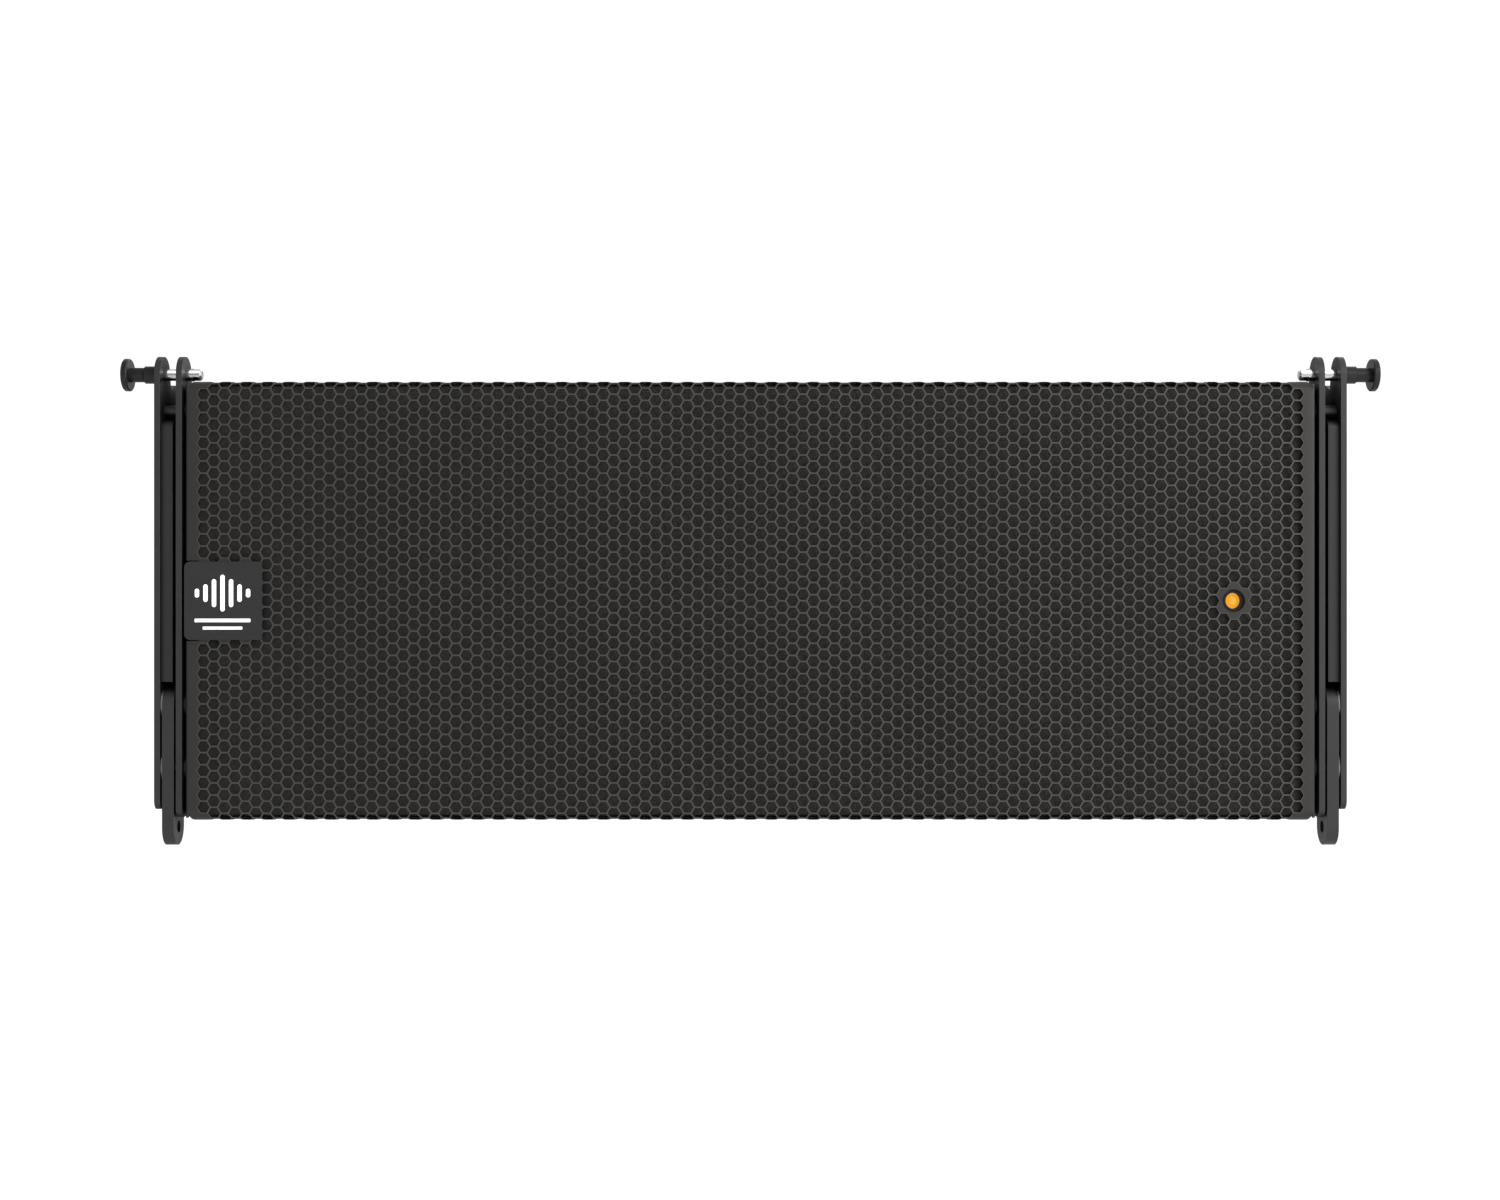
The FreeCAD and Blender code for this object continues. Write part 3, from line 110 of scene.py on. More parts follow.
class Shader:
    """One node material, built with short calls. Its nodes read rest coordinates in metres."""

    def __init__(self, name):
        self.material = bpy.data.materials.new(name)
        self.material.use_nodes = True
        self.tree = self.material.node_tree
        self.tree.nodes.clear()
        self.output = self.add("ShaderNodeOutputMaterial")
        self.surface = self.add("ShaderNodeBsdfPrincipled")
        self.link(self.surface.outputs[0], self.output.inputs["Surface"])
        self.place = self.add("ShaderNodeTexCoord").outputs["Object"]

    def add(self, kind, **settings):
        node = self.tree.nodes.new(kind)
        for key, value in settings.items():
            setattr(node, key, value)
        return node

    def link(self, source, target):
        self.tree.links.new(source, target)

    def put(self, node, name, value):
        """Links a socket to an input, or sets the input where the value is a number or a colour."""
        if isinstance(value, bpy.types.NodeSocket):
            self.link(value, node.inputs[name])
        else:
            node.inputs[name].default_value = value

    def set(self, **inputs):
        for name, value in inputs.items():
            self.put(self.surface, name.replace("_", " "), value)

    def stretched(self, scale):
        mapping = self.add("ShaderNodeMapping")
        self.link(self.place, mapping.inputs["Vector"])
        mapping.inputs["Scale"].default_value = scale
        return mapping.outputs[0]

    def noise(self, size_mm, detail=3.0, rough=0.55, stretch=None):
        """Cloudy pattern whose blobs are about size_mm wide."""
        node = self.add("ShaderNodeTexNoise")
        self.link(self.stretched(stretch) if stretch else self.place, node.inputs["Vector"])
        node.inputs["Scale"].default_value = 1000 / size_mm
        node.inputs["Detail"].default_value = detail
        node.inputs["Roughness"].default_value = rough
        return node.outputs["Fac"]

    def cells(self, size_mm, feature="F1", output="Distance"):
        node = self.add("ShaderNodeTexVoronoi", feature=feature)
        self.link(self.place, node.inputs["Vector"])
        node.inputs["Scale"].default_value = 1000 / size_mm
        return node.outputs[output]

    def math(self, kind, a, b=0.0, clamp=False):
        node = self.add("ShaderNodeMath", operation=kind, use_clamp=clamp)
        for index, value in enumerate((a, b)):
            self.put(node, index, value)
        return node.outputs[0]

    def span(self, value, low, high, to_low=0.0, to_high=1.0):
        node = self.add("ShaderNodeMapRange")
        for index, item in enumerate((value, low, high, to_low, to_high)):
            self.put(node, index, item)
        return node.outputs[0]

    def mix(self, share, first, second):
        """Colour between first and second."""
        node = self.add("ShaderNodeMix", data_type="RGBA")
        self.put(node, 0, share)
        for index, value in ((6, first), (7, second)):
            self.put(node, index, (*value, 1.0) if isinstance(value, tuple) else value)
        return node.outputs[2]

    def edges(self, radius_mm, low=0.985, high=0.93):
        """(rounded normal, edge mask) near the edges of the shape."""
        bevel = self.add("ShaderNodeBevel", samples=6)
        bevel.inputs["Radius"].default_value = radius_mm * MM
        geometry = self.add("ShaderNodeNewGeometry")
        dot = self.add("ShaderNodeVectorMath", operation="DOT_PRODUCT")
        self.link(bevel.outputs[0], dot.inputs[0])
        self.link(geometry.outputs["Normal"], dot.inputs[1])
        return bevel.outputs[0], self.span(dot.outputs["Value"], low, high)

    def open_sky(self, reach_mm, contrast):
        """1 where nothing stands within reach in front of the surface, near 0 in a narrow gap."""
        node = self.add("ShaderNodeAmbientOcclusion", samples=8)
        node.inputs["Distance"].default_value = reach_mm * MM
        return self.math("POWER", node.outputs["AO"], contrast)

    def bump(self, height, depth_mm, strength=1.0, normal=None):
        node = self.add("ShaderNodeBump")
        self.put(node, "Height", height)
        node.inputs["Distance"].default_value = depth_mm * MM
        node.inputs["Strength"].default_value = strength
        if normal is not None:
            self.link(normal, node.inputs["Normal"])
        self.link(node.outputs[0], self.surface.inputs["Normal"])
        return node.outputs[0]


def grey(level, warm=0.0):
    return (level * (1 + warm), level, level * (1 - warm))


def coated_metal(name, level, rough, grain_mm=0.7, depth_mm=0.02, worn_lit_edge_strength=0.35, edge_mm=0.35, warm=0.0):
    """Powder coat: fine orange peel, faint cloudiness, handling marks, edges a little lighter (partly worn coat,
    partly painted highlight), and painted shade with weaker reflection in narrow gaps.
    """
    s = Shader(name)
    rounded, edge = s.edges(edge_mm)
    cloud = s.noise(38, 4)
    tone = s.mix(cloud, grey(level * 0.86, warm), grey(level * 1.16, warm))
    # Edges a little lighter in patches: partly worn coat, partly painted highlight where the edges catch light.
    worn_lit_edge = s.math("MULTIPLY", edge, s.span(s.noise(5, 4), 0.42, 0.62), clamp=True)
    tone = s.mix(s.math("MULTIPLY", worn_lit_edge, worn_lit_edge_strength), tone, grey(level * 4 + 0.06, warm))
    marks = s.span(s.noise(2.2, 2, 0.4, stretch=(0.25, 1, 1)), 0.62, 0.75)
    # Painted shade: the colour goes near black in narrow gaps between parts, and the specular is cut there as well.
    unshaded_share = s.open_sky(45, 1.6)
    tone = s.mix(unshaded_share, grey(level * 0.1, warm), tone)
    s.set(Specular_IOR_Level=s.math("MULTIPLY", unshaded_share, 0.5))
    s.set(Base_Color=tone, Roughness=s.math("ADD", s.span(s.noise(9, 5), 0.3, 0.7, rough - 0.05, rough + 0.07),
                                            s.math("MULTIPLY", marks, 0.06)))
    s.bump(s.noise(grain_mm, 2), depth_mm, 0.8, rounded)
    return s.material


def sheet_coat(name, level, rough, shine=0.5):
    """Thin powder coat on the punched sheet."""
    s = Shader(name)
    s.set(Specular_IOR_Level=shine)
    cloud = s.noise(26, 4)
    tone = s.mix(cloud, grey(level * 0.88, 0.07), grey(level * 1.12, 0.08))
    s.set(Base_Color=tone, Roughness=s.span(s.noise(4, 4), 0.3, 0.7, rough - 0.05, rough + 0.06))
    s.bump(s.noise(0.5, 2), 0.012, 0.7)
    return s.material


def hole_side_shade(name):
    """The sides of the holes, which hardly catch any light: near black with weak specular, as painted shade."""
    s = Shader(name)
    s.set(Base_Color=s.mix(s.noise(1.5, 2), grey(0.002), grey(0.006)), Roughness=0.8, Specular_IOR_Level=0.1)
    s.bump(s.noise(0.3, 2), 0.02, 0.6)
    return s.material


def cabinet_coat(name, level, rough):
    """Thick sprayed coat: rounded grains of two sizes over the wood, and a painted highlight along the edges."""
    s = Shader(name)
    rounded, edge = s.edges(1.2)
    cloud = s.noise(60, 4)
    tone = s.mix(cloud, grey(level * 0.85), grey(level * 1.15))
    # Painted highlight: the colour is lighter along the edges.
    tone = s.mix(s.math("MULTIPLY", edge, 0.18), tone, grey(level * 3))
    grains = s.math("ADD", s.noise(1.5, 2, 0.5), s.math("MULTIPLY", s.cells(2.6, "SMOOTH_F1"), 0.5))
    s.set(Base_Color=tone, Roughness=s.span(s.noise(3, 3), 0.3, 0.7, rough - 0.06, rough + 0.08))
    s.bump(grains, 0.16, 0.9, rounded)
    return s.material


def foam_material(name, level):
    """Open-cell foam: pores with thin struts between them, and painted shade where the sheet stands close in front.
    """
    s = Shader(name)
    pores = s.cells(1.1)
    fine = s.noise(0.5, 3)
    tone = s.mix(s.span(pores, 0.05, 0.75), grey(level * 0.55, 0.08), grey(level * 1.5, 0.08))
    tone = s.mix(s.span(s.noise(14, 3), 0.3, 0.7, 0.0, 0.45), tone, grey(level * 0.8, 0.02))
    # Painted shade: the foam is darkened where the sheet's bars stand close in front of it; beside the plain borders
    # and round the lamp the darkening is capped at a lighter level.
    parts = s.add("ShaderNodeSeparateXYZ")
    s.link(s.place, parts.inputs[0])
    across, up = parts.outputs["X"], parts.outputs["Z"]
    side = s.span(s.math("ABSOLUTE", across), EDGE - 20 * MM, EDGE - 12 * MM)
    squares = [s.math("MULTIPLY", way, way) for way in (s.math("SUBTRACT", across, LAMP.x), up)]
    lamp = s.span(s.math("SQRT", s.math("ADD", *squares)), 20 * MM, 15 * MM)
    plain = s.math("MULTIPLY", s.math("MAXIMUM", side, lamp), 0.42)
    unshaded_share = s.math("MAXIMUM", s.open_sky(5.5, 3.0), plain)
    tone = s.mix(unshaded_share, grey(level * 0.12), tone)
    s.set(Base_Color=tone, Roughness=0.95, Sheen_Weight=0.15)
    s.bump(s.math("ADD", pores, fine), 0.5, 0.9)
    return s.material


def polished_steel(name, level=0.78, rough=0.12):
    """Ground and polished round bar: hair-fine turning marks and light smears."""
    s = Shader(name)
    rounded, edge = s.edges(0.15)
    turning = s.noise(0.6, 2, 0.5, stretch=(4, 0.2, 0.2))
    s.set(Base_Color=s.mix(s.noise(6, 3), grey(level * 0.93), grey(level)), Metallic=1.0,
          Roughness=s.span(s.noise(2.5, 4), 0.3, 0.7, rough * 0.6, rough * 1.6))
    s.bump(turning, 0.004, 0.6, rounded)
    return s.material


def machined_metal(name, colour, rough, metallic=1.0, turned_mm=0.5):
    """Turned or pressed metal with a thin finish, and a painted highlight along the edges."""
    s = Shader(name)
    rounded, edge = s.edges(0.2)
    low = tuple(c * 0.82 for c in colour)
    high = tuple(min(1.0, c * 1.15) for c in colour)
    tone = s.mix(s.noise(4, 4), low, high)
    # Painted highlight: the colour is lighter along the edges.
    tone = s.mix(s.math("MULTIPLY", edge, 0.4), tone, tuple(min(1.0, c * 2.2 + 0.05) for c in colour))
    s.set(Base_Color=tone, Metallic=metallic, Roughness=s.span(s.noise(1.8, 4), 0.3, 0.7, rough - 0.07, rough + 0.07))
    s.bump(s.noise(turned_mm, 2), 0.01, 0.6, rounded)
    return s.material


def moulded_plastic(name, colour, rough, grain_mm=0.8, depth_mm=0.03):
    """Moulded plastic with a spark-eroded grain, and a painted highlight along the edges."""
    s = Shader(name)
    rounded, edge = s.edges(0.3)
    low = tuple(c * 0.85 for c in colour)
    high = tuple(c * 1.15 for c in colour)
    tone = s.mix(s.noise(12, 3), low, high)
    # Painted highlight: the colour is lighter along the edges.
    tone = s.mix(s.math("MULTIPLY", edge, 0.25), tone, tuple(c * 1.8 + 0.01 for c in colour))
    s.set(Base_Color=tone, Roughness=s.span(s.noise(5, 3), 0.3, 0.7, rough - 0.05, rough + 0.05))
    s.bump(s.noise(grain_mm, 2), depth_mm, 0.7, rounded)
    return s.material


def amber_lens(name):
    """Lit amber lens: an even middle, a paler rim, and tiny prisms under the surface."""
    s = Shader(name)
    parts = s.add("ShaderNodeSeparateXYZ")
    s.link(s.place, parts.inputs[0])
    across = s.math("SUBTRACT", parts.outputs["X"], LAMP.x)
    square = s.math("ADD", s.math("MULTIPLY", across, across), s.math("MULTIPLY", parts.outputs["Z"], parts.outputs["Z"]))
    radius = s.math("SQRT", square)
    rim = s.span(radius, 4.0 * MM, 5.2 * MM)
    grain = s.span(s.cells(0.9), 0.0, 0.8, 0.0, 0.35)
    tone = s.mix(grain, (0.95, 0.37, 0.018), (0.93, 0.30, 0.010))
    tone = s.mix(rim, tone, (1.0, 0.62, 0.13))
    s.set(Base_Color=tone, Roughness=0.18, Coat_Weight=0.5, Emission_Color=tone, Emission_Strength=0.72)
    s.bump(s.cells(0.9), 0.05, 0.4)
    return s.material


def plywood(name):
    """Birch ply: long grain on the faces and thin dark glue lines."""
    s = Shader(name)
    grain = s.noise(18, 5, 0.6, stretch=(0.12, 1, 1))
    fine = s.noise(1.6, 3, 0.6, stretch=(0.08, 1, 1))
    tone = s.mix(grain, (0.50, 0.34, 0.19), (0.66, 0.49, 0.30))
    tone = s.mix(s.math("MULTIPLY", fine, 0.35), tone, (0.36, 0.23, 0.12))
    s.set(Base_Color=tone, Roughness=s.span(fine, 0.3, 0.7, 0.55, 0.72))
    s.bump(fine, 0.06, 0.7)
    return s.material


def paper(name, level):
    """Pressed paper cone: short fibres and a thin doping."""
    s = Shader(name)
    fibres = s.noise(1.4, 5, 0.7, stretch=(1, 0.4, 1))
    tone = s.mix(fibres, grey(level * 0.6), grey(level * 1.6))
    s.set(Base_Color=tone, Roughness=0.7)
    s.bump(fibres, 0.12, 0.8)
    return s.material


def wadding(name):
    """Pale fibre wadding."""
    s = Shader(name)
    fibres = s.noise(2.5, 6, 0.75)
    tone = s.mix(fibres, (0.34, 0.34, 0.32), (0.72, 0.71, 0.68))
    s.set(Base_Color=tone, Roughness=0.95, Sheen_Weight=0.3)
    s.bump(fibres, 1.0, 0.8)
    return s.material


def circuit_board(name):
    """Green lacquer over copper tracks."""
    s = Shader(name)
    tracks = s.span(s.cells(9, "DISTANCE_TO_EDGE"), 0.02, 0.05)
    tone = s.mix(tracks, (0.10, 0.26, 0.10), (0.02, 0.11, 0.05))
    s.set(Base_Color=tone, Roughness=0.35, Coat_Weight=0.4)
    s.bump(tracks, 0.05, 0.6)
    return s.material


def wound_copper(name):
    """Enamelled wire laid in turns."""
    s = Shader(name)
    turns = s.noise(1.1, 1, 0.4, stretch=(1, 0.15, 0.15))
    s.set(Base_Color=s.mix(turns, (0.42, 0.13, 0.04), (0.80, 0.38, 0.16)), Metallic=0.8, Roughness=0.35)
    s.bump(turns, 0.2, 0.9)
    return s.material


def printed_white(name):
    """Screen-printed ink, a little uneven, with a white glow that is painted light, as the print is no lamp."""
    s = Shader(name)
    # Painted light: the ink glows white though it is no lamp.
    s.set(Base_Color=s.mix(s.noise(1.2, 3), (0.86, 0.86, 0.85), (0.98, 0.98, 0.98)), Roughness=0.45,
          Emission_Color=(1, 1, 1, 1), Emission_Strength=0.75)
    s.bump(s.noise(0.4, 2), 0.01, 0.5)
    return s.material


PAINT = coated_metal("plate_paint", 0.036, 0.42, grain_mm=0.8, depth_mm=0.025)
GRILLE_PAINT = sheet_coat("grille_paint", 0.030, 0.44)
# Brighter, shinier copy of the grille paint for the bars round the holes: painted highlight where the bars catch
# light.
BAR_HIGHLIGHT = sheet_coat("grille_bars_painted_highlight", 0.047, 0.38, 1.0)
# Near-black sides of the holes: painted shade inside the holes.
HOLE_SIDE_SHADE = hole_side_shade("hole_sides_painted_shade")
COAT = cabinet_coat("cabinet_coat", 0.03, 0.5)
FOAM = foam_material("foam", 0.060)
STEEL = polished_steel("pin_steel")
ANODISED = machined_metal("knob_black", (0.022, 0.022, 0.023), 0.36, metallic=0.3)
BUTTON = machined_metal("button_steel", (0.10, 0.10, 0.105), 0.3)
BLACK_SCREW = machined_metal("black_screw", (0.03, 0.03, 0.031), 0.38, metallic=0.6)
# Lighter copy of the black screw finish for the rigging bolts: painted light, so they stand out in the dark channel
# between the plates.
LIT_BOLT = machined_metal("bolt_painted_light", (0.07, 0.07, 0.072), 0.34, metallic=0.6)
ZINC = machined_metal("zinc", (0.34, 0.34, 0.36), 0.35)
MOTOR = machined_metal("motor_zinc", (0.45, 0.45, 0.43), 0.3, turned_mm=0.9)
ALLOY = moulded_plastic("cast_alloy", (0.05, 0.05, 0.052), 0.5, 1.2, 0.08)
DOME = machined_metal("dome_metal", (0.75, 0.76, 0.78), 0.22)
PLASTIC = moulded_plastic("black_plastic", (0.022, 0.022, 0.022), 0.5)
SOCKET = moulded_plastic("socket_plastic", (0.012, 0.016, 0.03), 0.32, 0.5, 0.01)
BADGE = moulded_plastic("badge_black", (0.030, 0.030, 0.030), 0.42, 0.4, 0.008)
# Near-black copy of the black plastic for the lamp housing: painted shade in the cup round the lens.
CUP_SHADE = moulded_plastic("lamp_cup", (0.003, 0.003, 0.003), 0.7, 0.5, 0.02)
RUBBER = moulded_plastic("rubber", (0.02, 0.02, 0.02), 0.62, 0.5, 0.02)
PLY = plywood("bare_ply")
PAPER = paper("cone_paper", 0.03)
WADDING = wadding("lining_wadding")
BOARD = circuit_board("board_green")
COPPER = wound_copper("coil_copper")
AMBER = amber_lens("amber_lens")
WHITE_INK = printed_white("white_ink")

FINISHES = {
    "cabinet_paint": COAT, "bare_ply": PLY, "grille_paint": GRILLE_PAINT, "foam": FOAM, "rigging_paint": PAINT,
    "badge_paint": BADGE, "amber_lens": AMBER, "black_plastic": PLASTIC, "cast_alloy": ALLOY,
    "motor_steel": MOTOR, "cone_paper": PAPER, "surround_rubber": RUBBER, "dome_metal": DOME,
    "board_green": BOARD, "copper": COPPER, "cable_black": RUBBER, "lining": WADDING, "plate_paint": PAINT,
    "socket_plastic": SOCKET, "black_screws": BLACK_SCREW, "zinc_washers": ZINC, "pin_steel": STEEL,
    "knob_black": ANODISED, "button_metal": BUTTON, "latch_steel": STEEL,
}

SPECIAL_FINISHES = {"rigging_bolts": LIT_BOLT, "lamp_housing": CUP_SHADE}


def dress_cad_nodes():
    """Every carried-over CAD node gets its slot's finish."""
    for entry in frame["record"]["subparts"]:
        piece = frame["nodes"][entry["node"]]
        piece.data.materials.clear()
        finish = SPECIAL_FINISHES.get(entry["node"], FINISHES[entry["material_slot"]])
        piece.data.materials.append(finish)


# ======================================================================================
# mesh helpers
# ======================================================================================


def object_from(name, mesh, materials, body, smooth=None):
    piece = bpy.data.objects.new(name, mesh)
    bpy.context.scene.collection.objects.link(piece)
    for material in materials:
        mesh.materials.append(material)
    if smooth is not None:
        mesh.shade_smooth()
        mesh.set_sharp_from_angle(angle=math.radians(smooth))
    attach(piece, body)
    return piece


def object_from_bmesh(name, bm, materials, body, smooth=None):
    mesh = bpy.data.meshes.new(name)
    bm.to_mesh(mesh)
    bm.free()
    return object_from(name, mesh, materials, body, smooth)


def modifier(piece, kind, **settings):
    added = piece.modifiers.new(kind.lower(), kind)
    for key, value in settings.items():
        setattr(added, key, value)
    return added


# ======================================================================================
# grille
# ======================================================================================


def sheet_section(run):
    """(y, z) of the sheet's face at a run along it from its middle line, over the bend and onto the flange."""
    flat = BEND_CENTRE.z
    way = 1 if run >= 0 else -1
    run = abs(run)
    if run <= flat:
        return FRONT, way * run
    turn = min((run - flat) / BEND, BEND_ANGLE)
    rest = run - flat - turn * BEND
    y = BEND_CENTRE.y - BEND * math.cos(turn) + rest * math.cos(TAPER)
    z = BEND_CENTRE.z + BEND * math.sin(turn) - rest * math.sin(TAPER)
    return y, way * z


def side_section(run):
    """(x, y) of the sheet's face at a run along it from its middle column, round the side bend."""
    way = 1 if run >= 0 else -1
    past = abs(run) - EDGE
    turn = min(max(past, 0) / SIDE_BEND, math.pi / 2)
    rest = max(past, 0) - turn * SIDE_BEND
    x = min(abs(run), EDGE) + SIDE_BEND * math.sin(turn)
    y = FRONT + SIDE_BEND * (1 - math.cos(turn)) + rest
    return way * x, y


def hexagon(across, up, size):
    """Corners of a flat-topped hexagon, size across its flats."""
    reach = size / math.sqrt(3)
    return [(across + reach * math.cos(math.radians(60 * k)), up + reach * math.sin(math.radians(60 * k)))
            for k in range(6)]


def behind_badge(across, up):
    return across < badge_high.x - 2 * MM and abs(up) < badge_high.z - 1 * MM


def sheet_cells():
    """Every cell of the pattern as (column, place across, place up, whether it is punched)."""
    for column in range(-COLUMNS, COLUMNS + 1):
        half = 0.5 if column % 2 else 0.0
        for row in range(-ROWS, ROWS + (0 if half else 1)):
            across, up = column * COLUMN, (row + half) * PITCH
            short = abs(column) == COLUMNS and abs(up) > 17.2 * PITCH
            lamp = math.hypot(across - LAMP.x, up) < 1.2 * PITCH
            yield column, across, up, not (short or lamp or behind_badge(across, up)), lamp


class Sheet:
    """Flat face of the sheet, before it is bent. A point's third number is 1 on the side flanges."""

    def __init__(self):
        self.bm = bmesh.new()
        self.found = {}

    def point(self, across, up, flange=0):
        key = (round(across * 1e7), round(up * 1e7), flange)
        if key not in self.found:
            self.found[key] = self.bm.verts.new((across, up, flange))
        return self.found[key]

    def face(self, *corners):
        return self.bm.faces.new([self.point(*corner) for corner in corners])


def punched_cells(sheet):
    """Rings of faces round the holes, whole faces for blank cells, and the ring round the lamp."""
    patch = []
    for _, across, up, punched, lamp in sheet_cells():
        outer = hexagon(across, up, PITCH)
        if lamp:
            patch.append(outer)
        elif punched:
            inner = hexagon(across, up, HOLE)
            for k in range(6):
                n = (k + 1) % 6
                sheet.face(outer[k], outer[n], inner[n], inner[k]).material_index = BAR_SLOT
        else:
            sheet.face(*outer)
    return patch


def lamp_surround(sheet, patch):
    """Fills between the outline of the blank cells round the lamp and the lamp's round hole."""
    corners = {}
    for cell in patch:
        for corner in cell:
            key = (round(corner[0] * 1e7), round(corner[1] * 1e7))
            corners.setdefault(key, [corner, 0])[1] += 1
    outline = [corner for corner, count in corners.values() if count < 3]
    outline.sort(key=lambda c: math.atan2(c[1], c[0] - LAMP.x))
    count = len(outline)
    turns = [math.atan2(c[1], c[0] - LAMP.x) for c in outline]
    fine = 4
    ring = []
    for k in range(count):
        span = (turns[(k + 1) % count] - turns[k]) % (2 * math.pi)
        ring.append([(LAMP_HOLE_X + LAMP_HOLE * math.cos(turns[k] + span * j / fine),
                      LAMP_HOLE * math.sin(turns[k] + span * j / fine)) for j in range(fine + 1)])
    for k in range(count):
        here, after = outline[k], outline[(k + 1) % count]
        arc = ring[k]
        arc[-1] = ring[(k + 1) % count][0]
        sheet.face(here, after, *reversed(arc))


def plain_borders(sheet, run_end):
    """Bands from the ragged edge of the pattern to the straight edges of the blank."""
    reach = PITCH / math.sqrt(3)
    top = ROWS * PITCH
    for way in (-1, 1):
        side = way * COLUMNS * COLUMN
        ragged = []
        for row in range(-ROWS, ROWS + 1):
            ragged.append((side + way * reach / 2, (row - 0.5) * PITCH))
            ragged.append((side + way * reach, row * PITCH))
        ragged.append((side + way * reach / 2, (ROWS + 0.5) * PITCH))
        for here, after in zip(ragged, ragged[1:]):
            sheet.face(here, after, (way * EDGE, after[1]), (way * EDGE, here[1]))
        edge = []
        for column in range(-COLUMNS, COLUMNS + 1):
            level = way * (top + PITCH / 2 if column % 2 == 0 else top)
            edge.append((column * COLUMN - reach / 2, level))
            edge.append((column * COLUMN + reach / 2, level))
        for here, after in zip(edge, edge[1:]):
            sheet.face(here, after, (after[0], way * run_end), (here[0], way * run_end))
        for end, corner in ((-1, edge[0]), (1, edge[-1])):
            sheet.face(corner, (corner[0], way * run_end), (end * EDGE, way * run_end), (end * EDGE, corner[1]))


def bend_lines(sheet):
    """Cuts the flat face along lines that the bends follow."""
    flat = BEND_CENTRE.z
    for way in (-1, 1):
        for step in range(BEND_STEPS + 1):
            level = way * (flat + BEND * BEND_ANGLE * step / BEND_STEPS)
            everything = sheet.bm.verts[:] + sheet.bm.edges[:] + sheet.bm.faces[:]
            bmesh.ops.bisect_plane(sheet.bm, geom=everything, dist=1e-7, plane_co=(0, level, 0), plane_no=(0, 1, 0))


def badge_notch(sheet):
    """Opens the plain strip behind the badge, a little taller than it, so that a dark line frames it."""
    for level in (-NOTCH_HALF, NOTCH_HALF):
        everything = sheet.bm.verts[:] + sheet.bm.edges[:] + sheet.bm.faces[:]
        bmesh.ops.bisect_plane(sheet.bm, geom=everything, dist=1e-7, plane_co=(0, level, 0), plane_no=(0, 1, 0))
    inside = []
    for face in sheet.bm.faces:
        middle = face.calc_center_median()
        if middle.x < NOTCH_EDGE + 2 * MM and abs(middle.y) < NOTCH_HALF:
            inside.append(face)
    bmesh.ops.delete(sheet.bm, geom=inside, context="FACES")


def side_flanges(sheet, depth):
    """Runs the side edges round their small bend and back along the cabinet, clear of the corner bends."""
    steps = [SIDE_BEND * math.pi / 2 * k / 5 for k in range(6)] + [SIDE_BEND * math.pi / 2 + depth]
    flat = BEND_CENTRE.z + 1e-6
    for way in (-1, 1):
        rim = [v for v in sheet.bm.verts if abs(v.co.x - way * EDGE) < 1e-6 and abs(v.co.y) < flat]
        rim.sort(key=lambda v: v.co.y)
        levels = [v.co.y for v in rim]
        rows = [rim]
        for run in steps[1:]:
            rows.append([sheet.bm.verts.new((way * (EDGE + run), level, 1)) for level in levels])
        for near, far in zip(rows, rows[1:]):
            for k in range(len(near) - 1):
                middle = (levels[k] + levels[k + 1]) / 2
                if way > 0 or abs(middle) > NOTCH_HALF:
                    sheet.bm.faces.new([near[k], near[k + 1], far[k + 1], far[k]])
        for up, end in ((-1, 0), (1, -1)):
            tips = []
            for index, run in enumerate(steps):
                level = up * (SIDE_TOP - max(0.0, run - steps[5]) * math.tan(TAPER))
                tips.append(sheet.bm.verts.new((way * (EDGE + run), level, 1)))
            for k in range(len(steps) - 1):
                sheet.bm.faces.new([rows[k][end], tips[k], tips[k + 1], rows[k + 1][end]])


def build_grille():
    sheet = Sheet()
    depth = grille_high.y - FRONT
    run_end = BEND_CENTRE.z + BEND * BEND_ANGLE + (depth - BEND) / math.cos(TAPER)
    lamp_surround(sheet, punched_cells(sheet))
    plain_borders(sheet, run_end)
    bend_lines(sheet)
    badge_notch(sheet)
    corner_cut = 4 * MM
    for vert in sheet.bm.verts:
        past = abs(vert.co.y) - BEND_CENTRE.z
        if past > 1e-6 and abs(abs(vert.co.x) - EDGE) < 1e-6:
            share = min(1.0, past / (BEND * BEND_ANGLE))
            vert.co.x -= math.copysign(corner_cut * share * share, vert.co.x)
    side_flanges(sheet, depth - SIDE_BEND)
    loose = [vert for vert in sheet.bm.verts if not vert.link_faces]
    bmesh.ops.delete(sheet.bm, geom=loose, context="VERTS")
    for vert in sheet.bm.verts:
        across, up, flange = vert.co
        if flange > 0.5:
            x, y = side_section(across)
            vert.co = (x, y, up)
        else:
            y, z = sheet_section(up)
            vert.co = (across, y, z)
    bmesh.ops.recalc_face_normals(sheet.bm, faces=sheet.bm.faces)
    front = max(sheet.bm.faces, key=lambda f: f.calc_area())
    if front.normal.y > 0:
        bmesh.ops.reverse_faces(sheet.bm, faces=sheet.bm.faces)
    # The bar slot takes the brighter copy of the grille paint as painted highlight; the rims of the bars, the hole
    # sides, take near-black painted shade.
    coats = [GRILLE_PAINT, GRILLE_PAINT, BAR_HIGHLIGHT, HOLE_SIDE_SHADE]
    piece = object_from_bmesh("grille_perforated", sheet.bm, coats, CABINET, 30)
    modifier(piece, "SOLIDIFY", thickness=SHEET, offset=-1, use_even_offset=False, material_offset_rim=1)
    # Every bevel takes the bar slot, so the sheet's edges carry the painted highlight as well.
    modifier(piece, "BEVEL", width=0.14 * MM, segments=1, limit_method="ANGLE", angle_limit=math.radians(75),
             harden_normals=True, use_clamp_overlap=False, material=BAR_SLOT)
    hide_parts("grille")
    return piece


# ======================================================================================
# soft pieces
# ======================================================================================


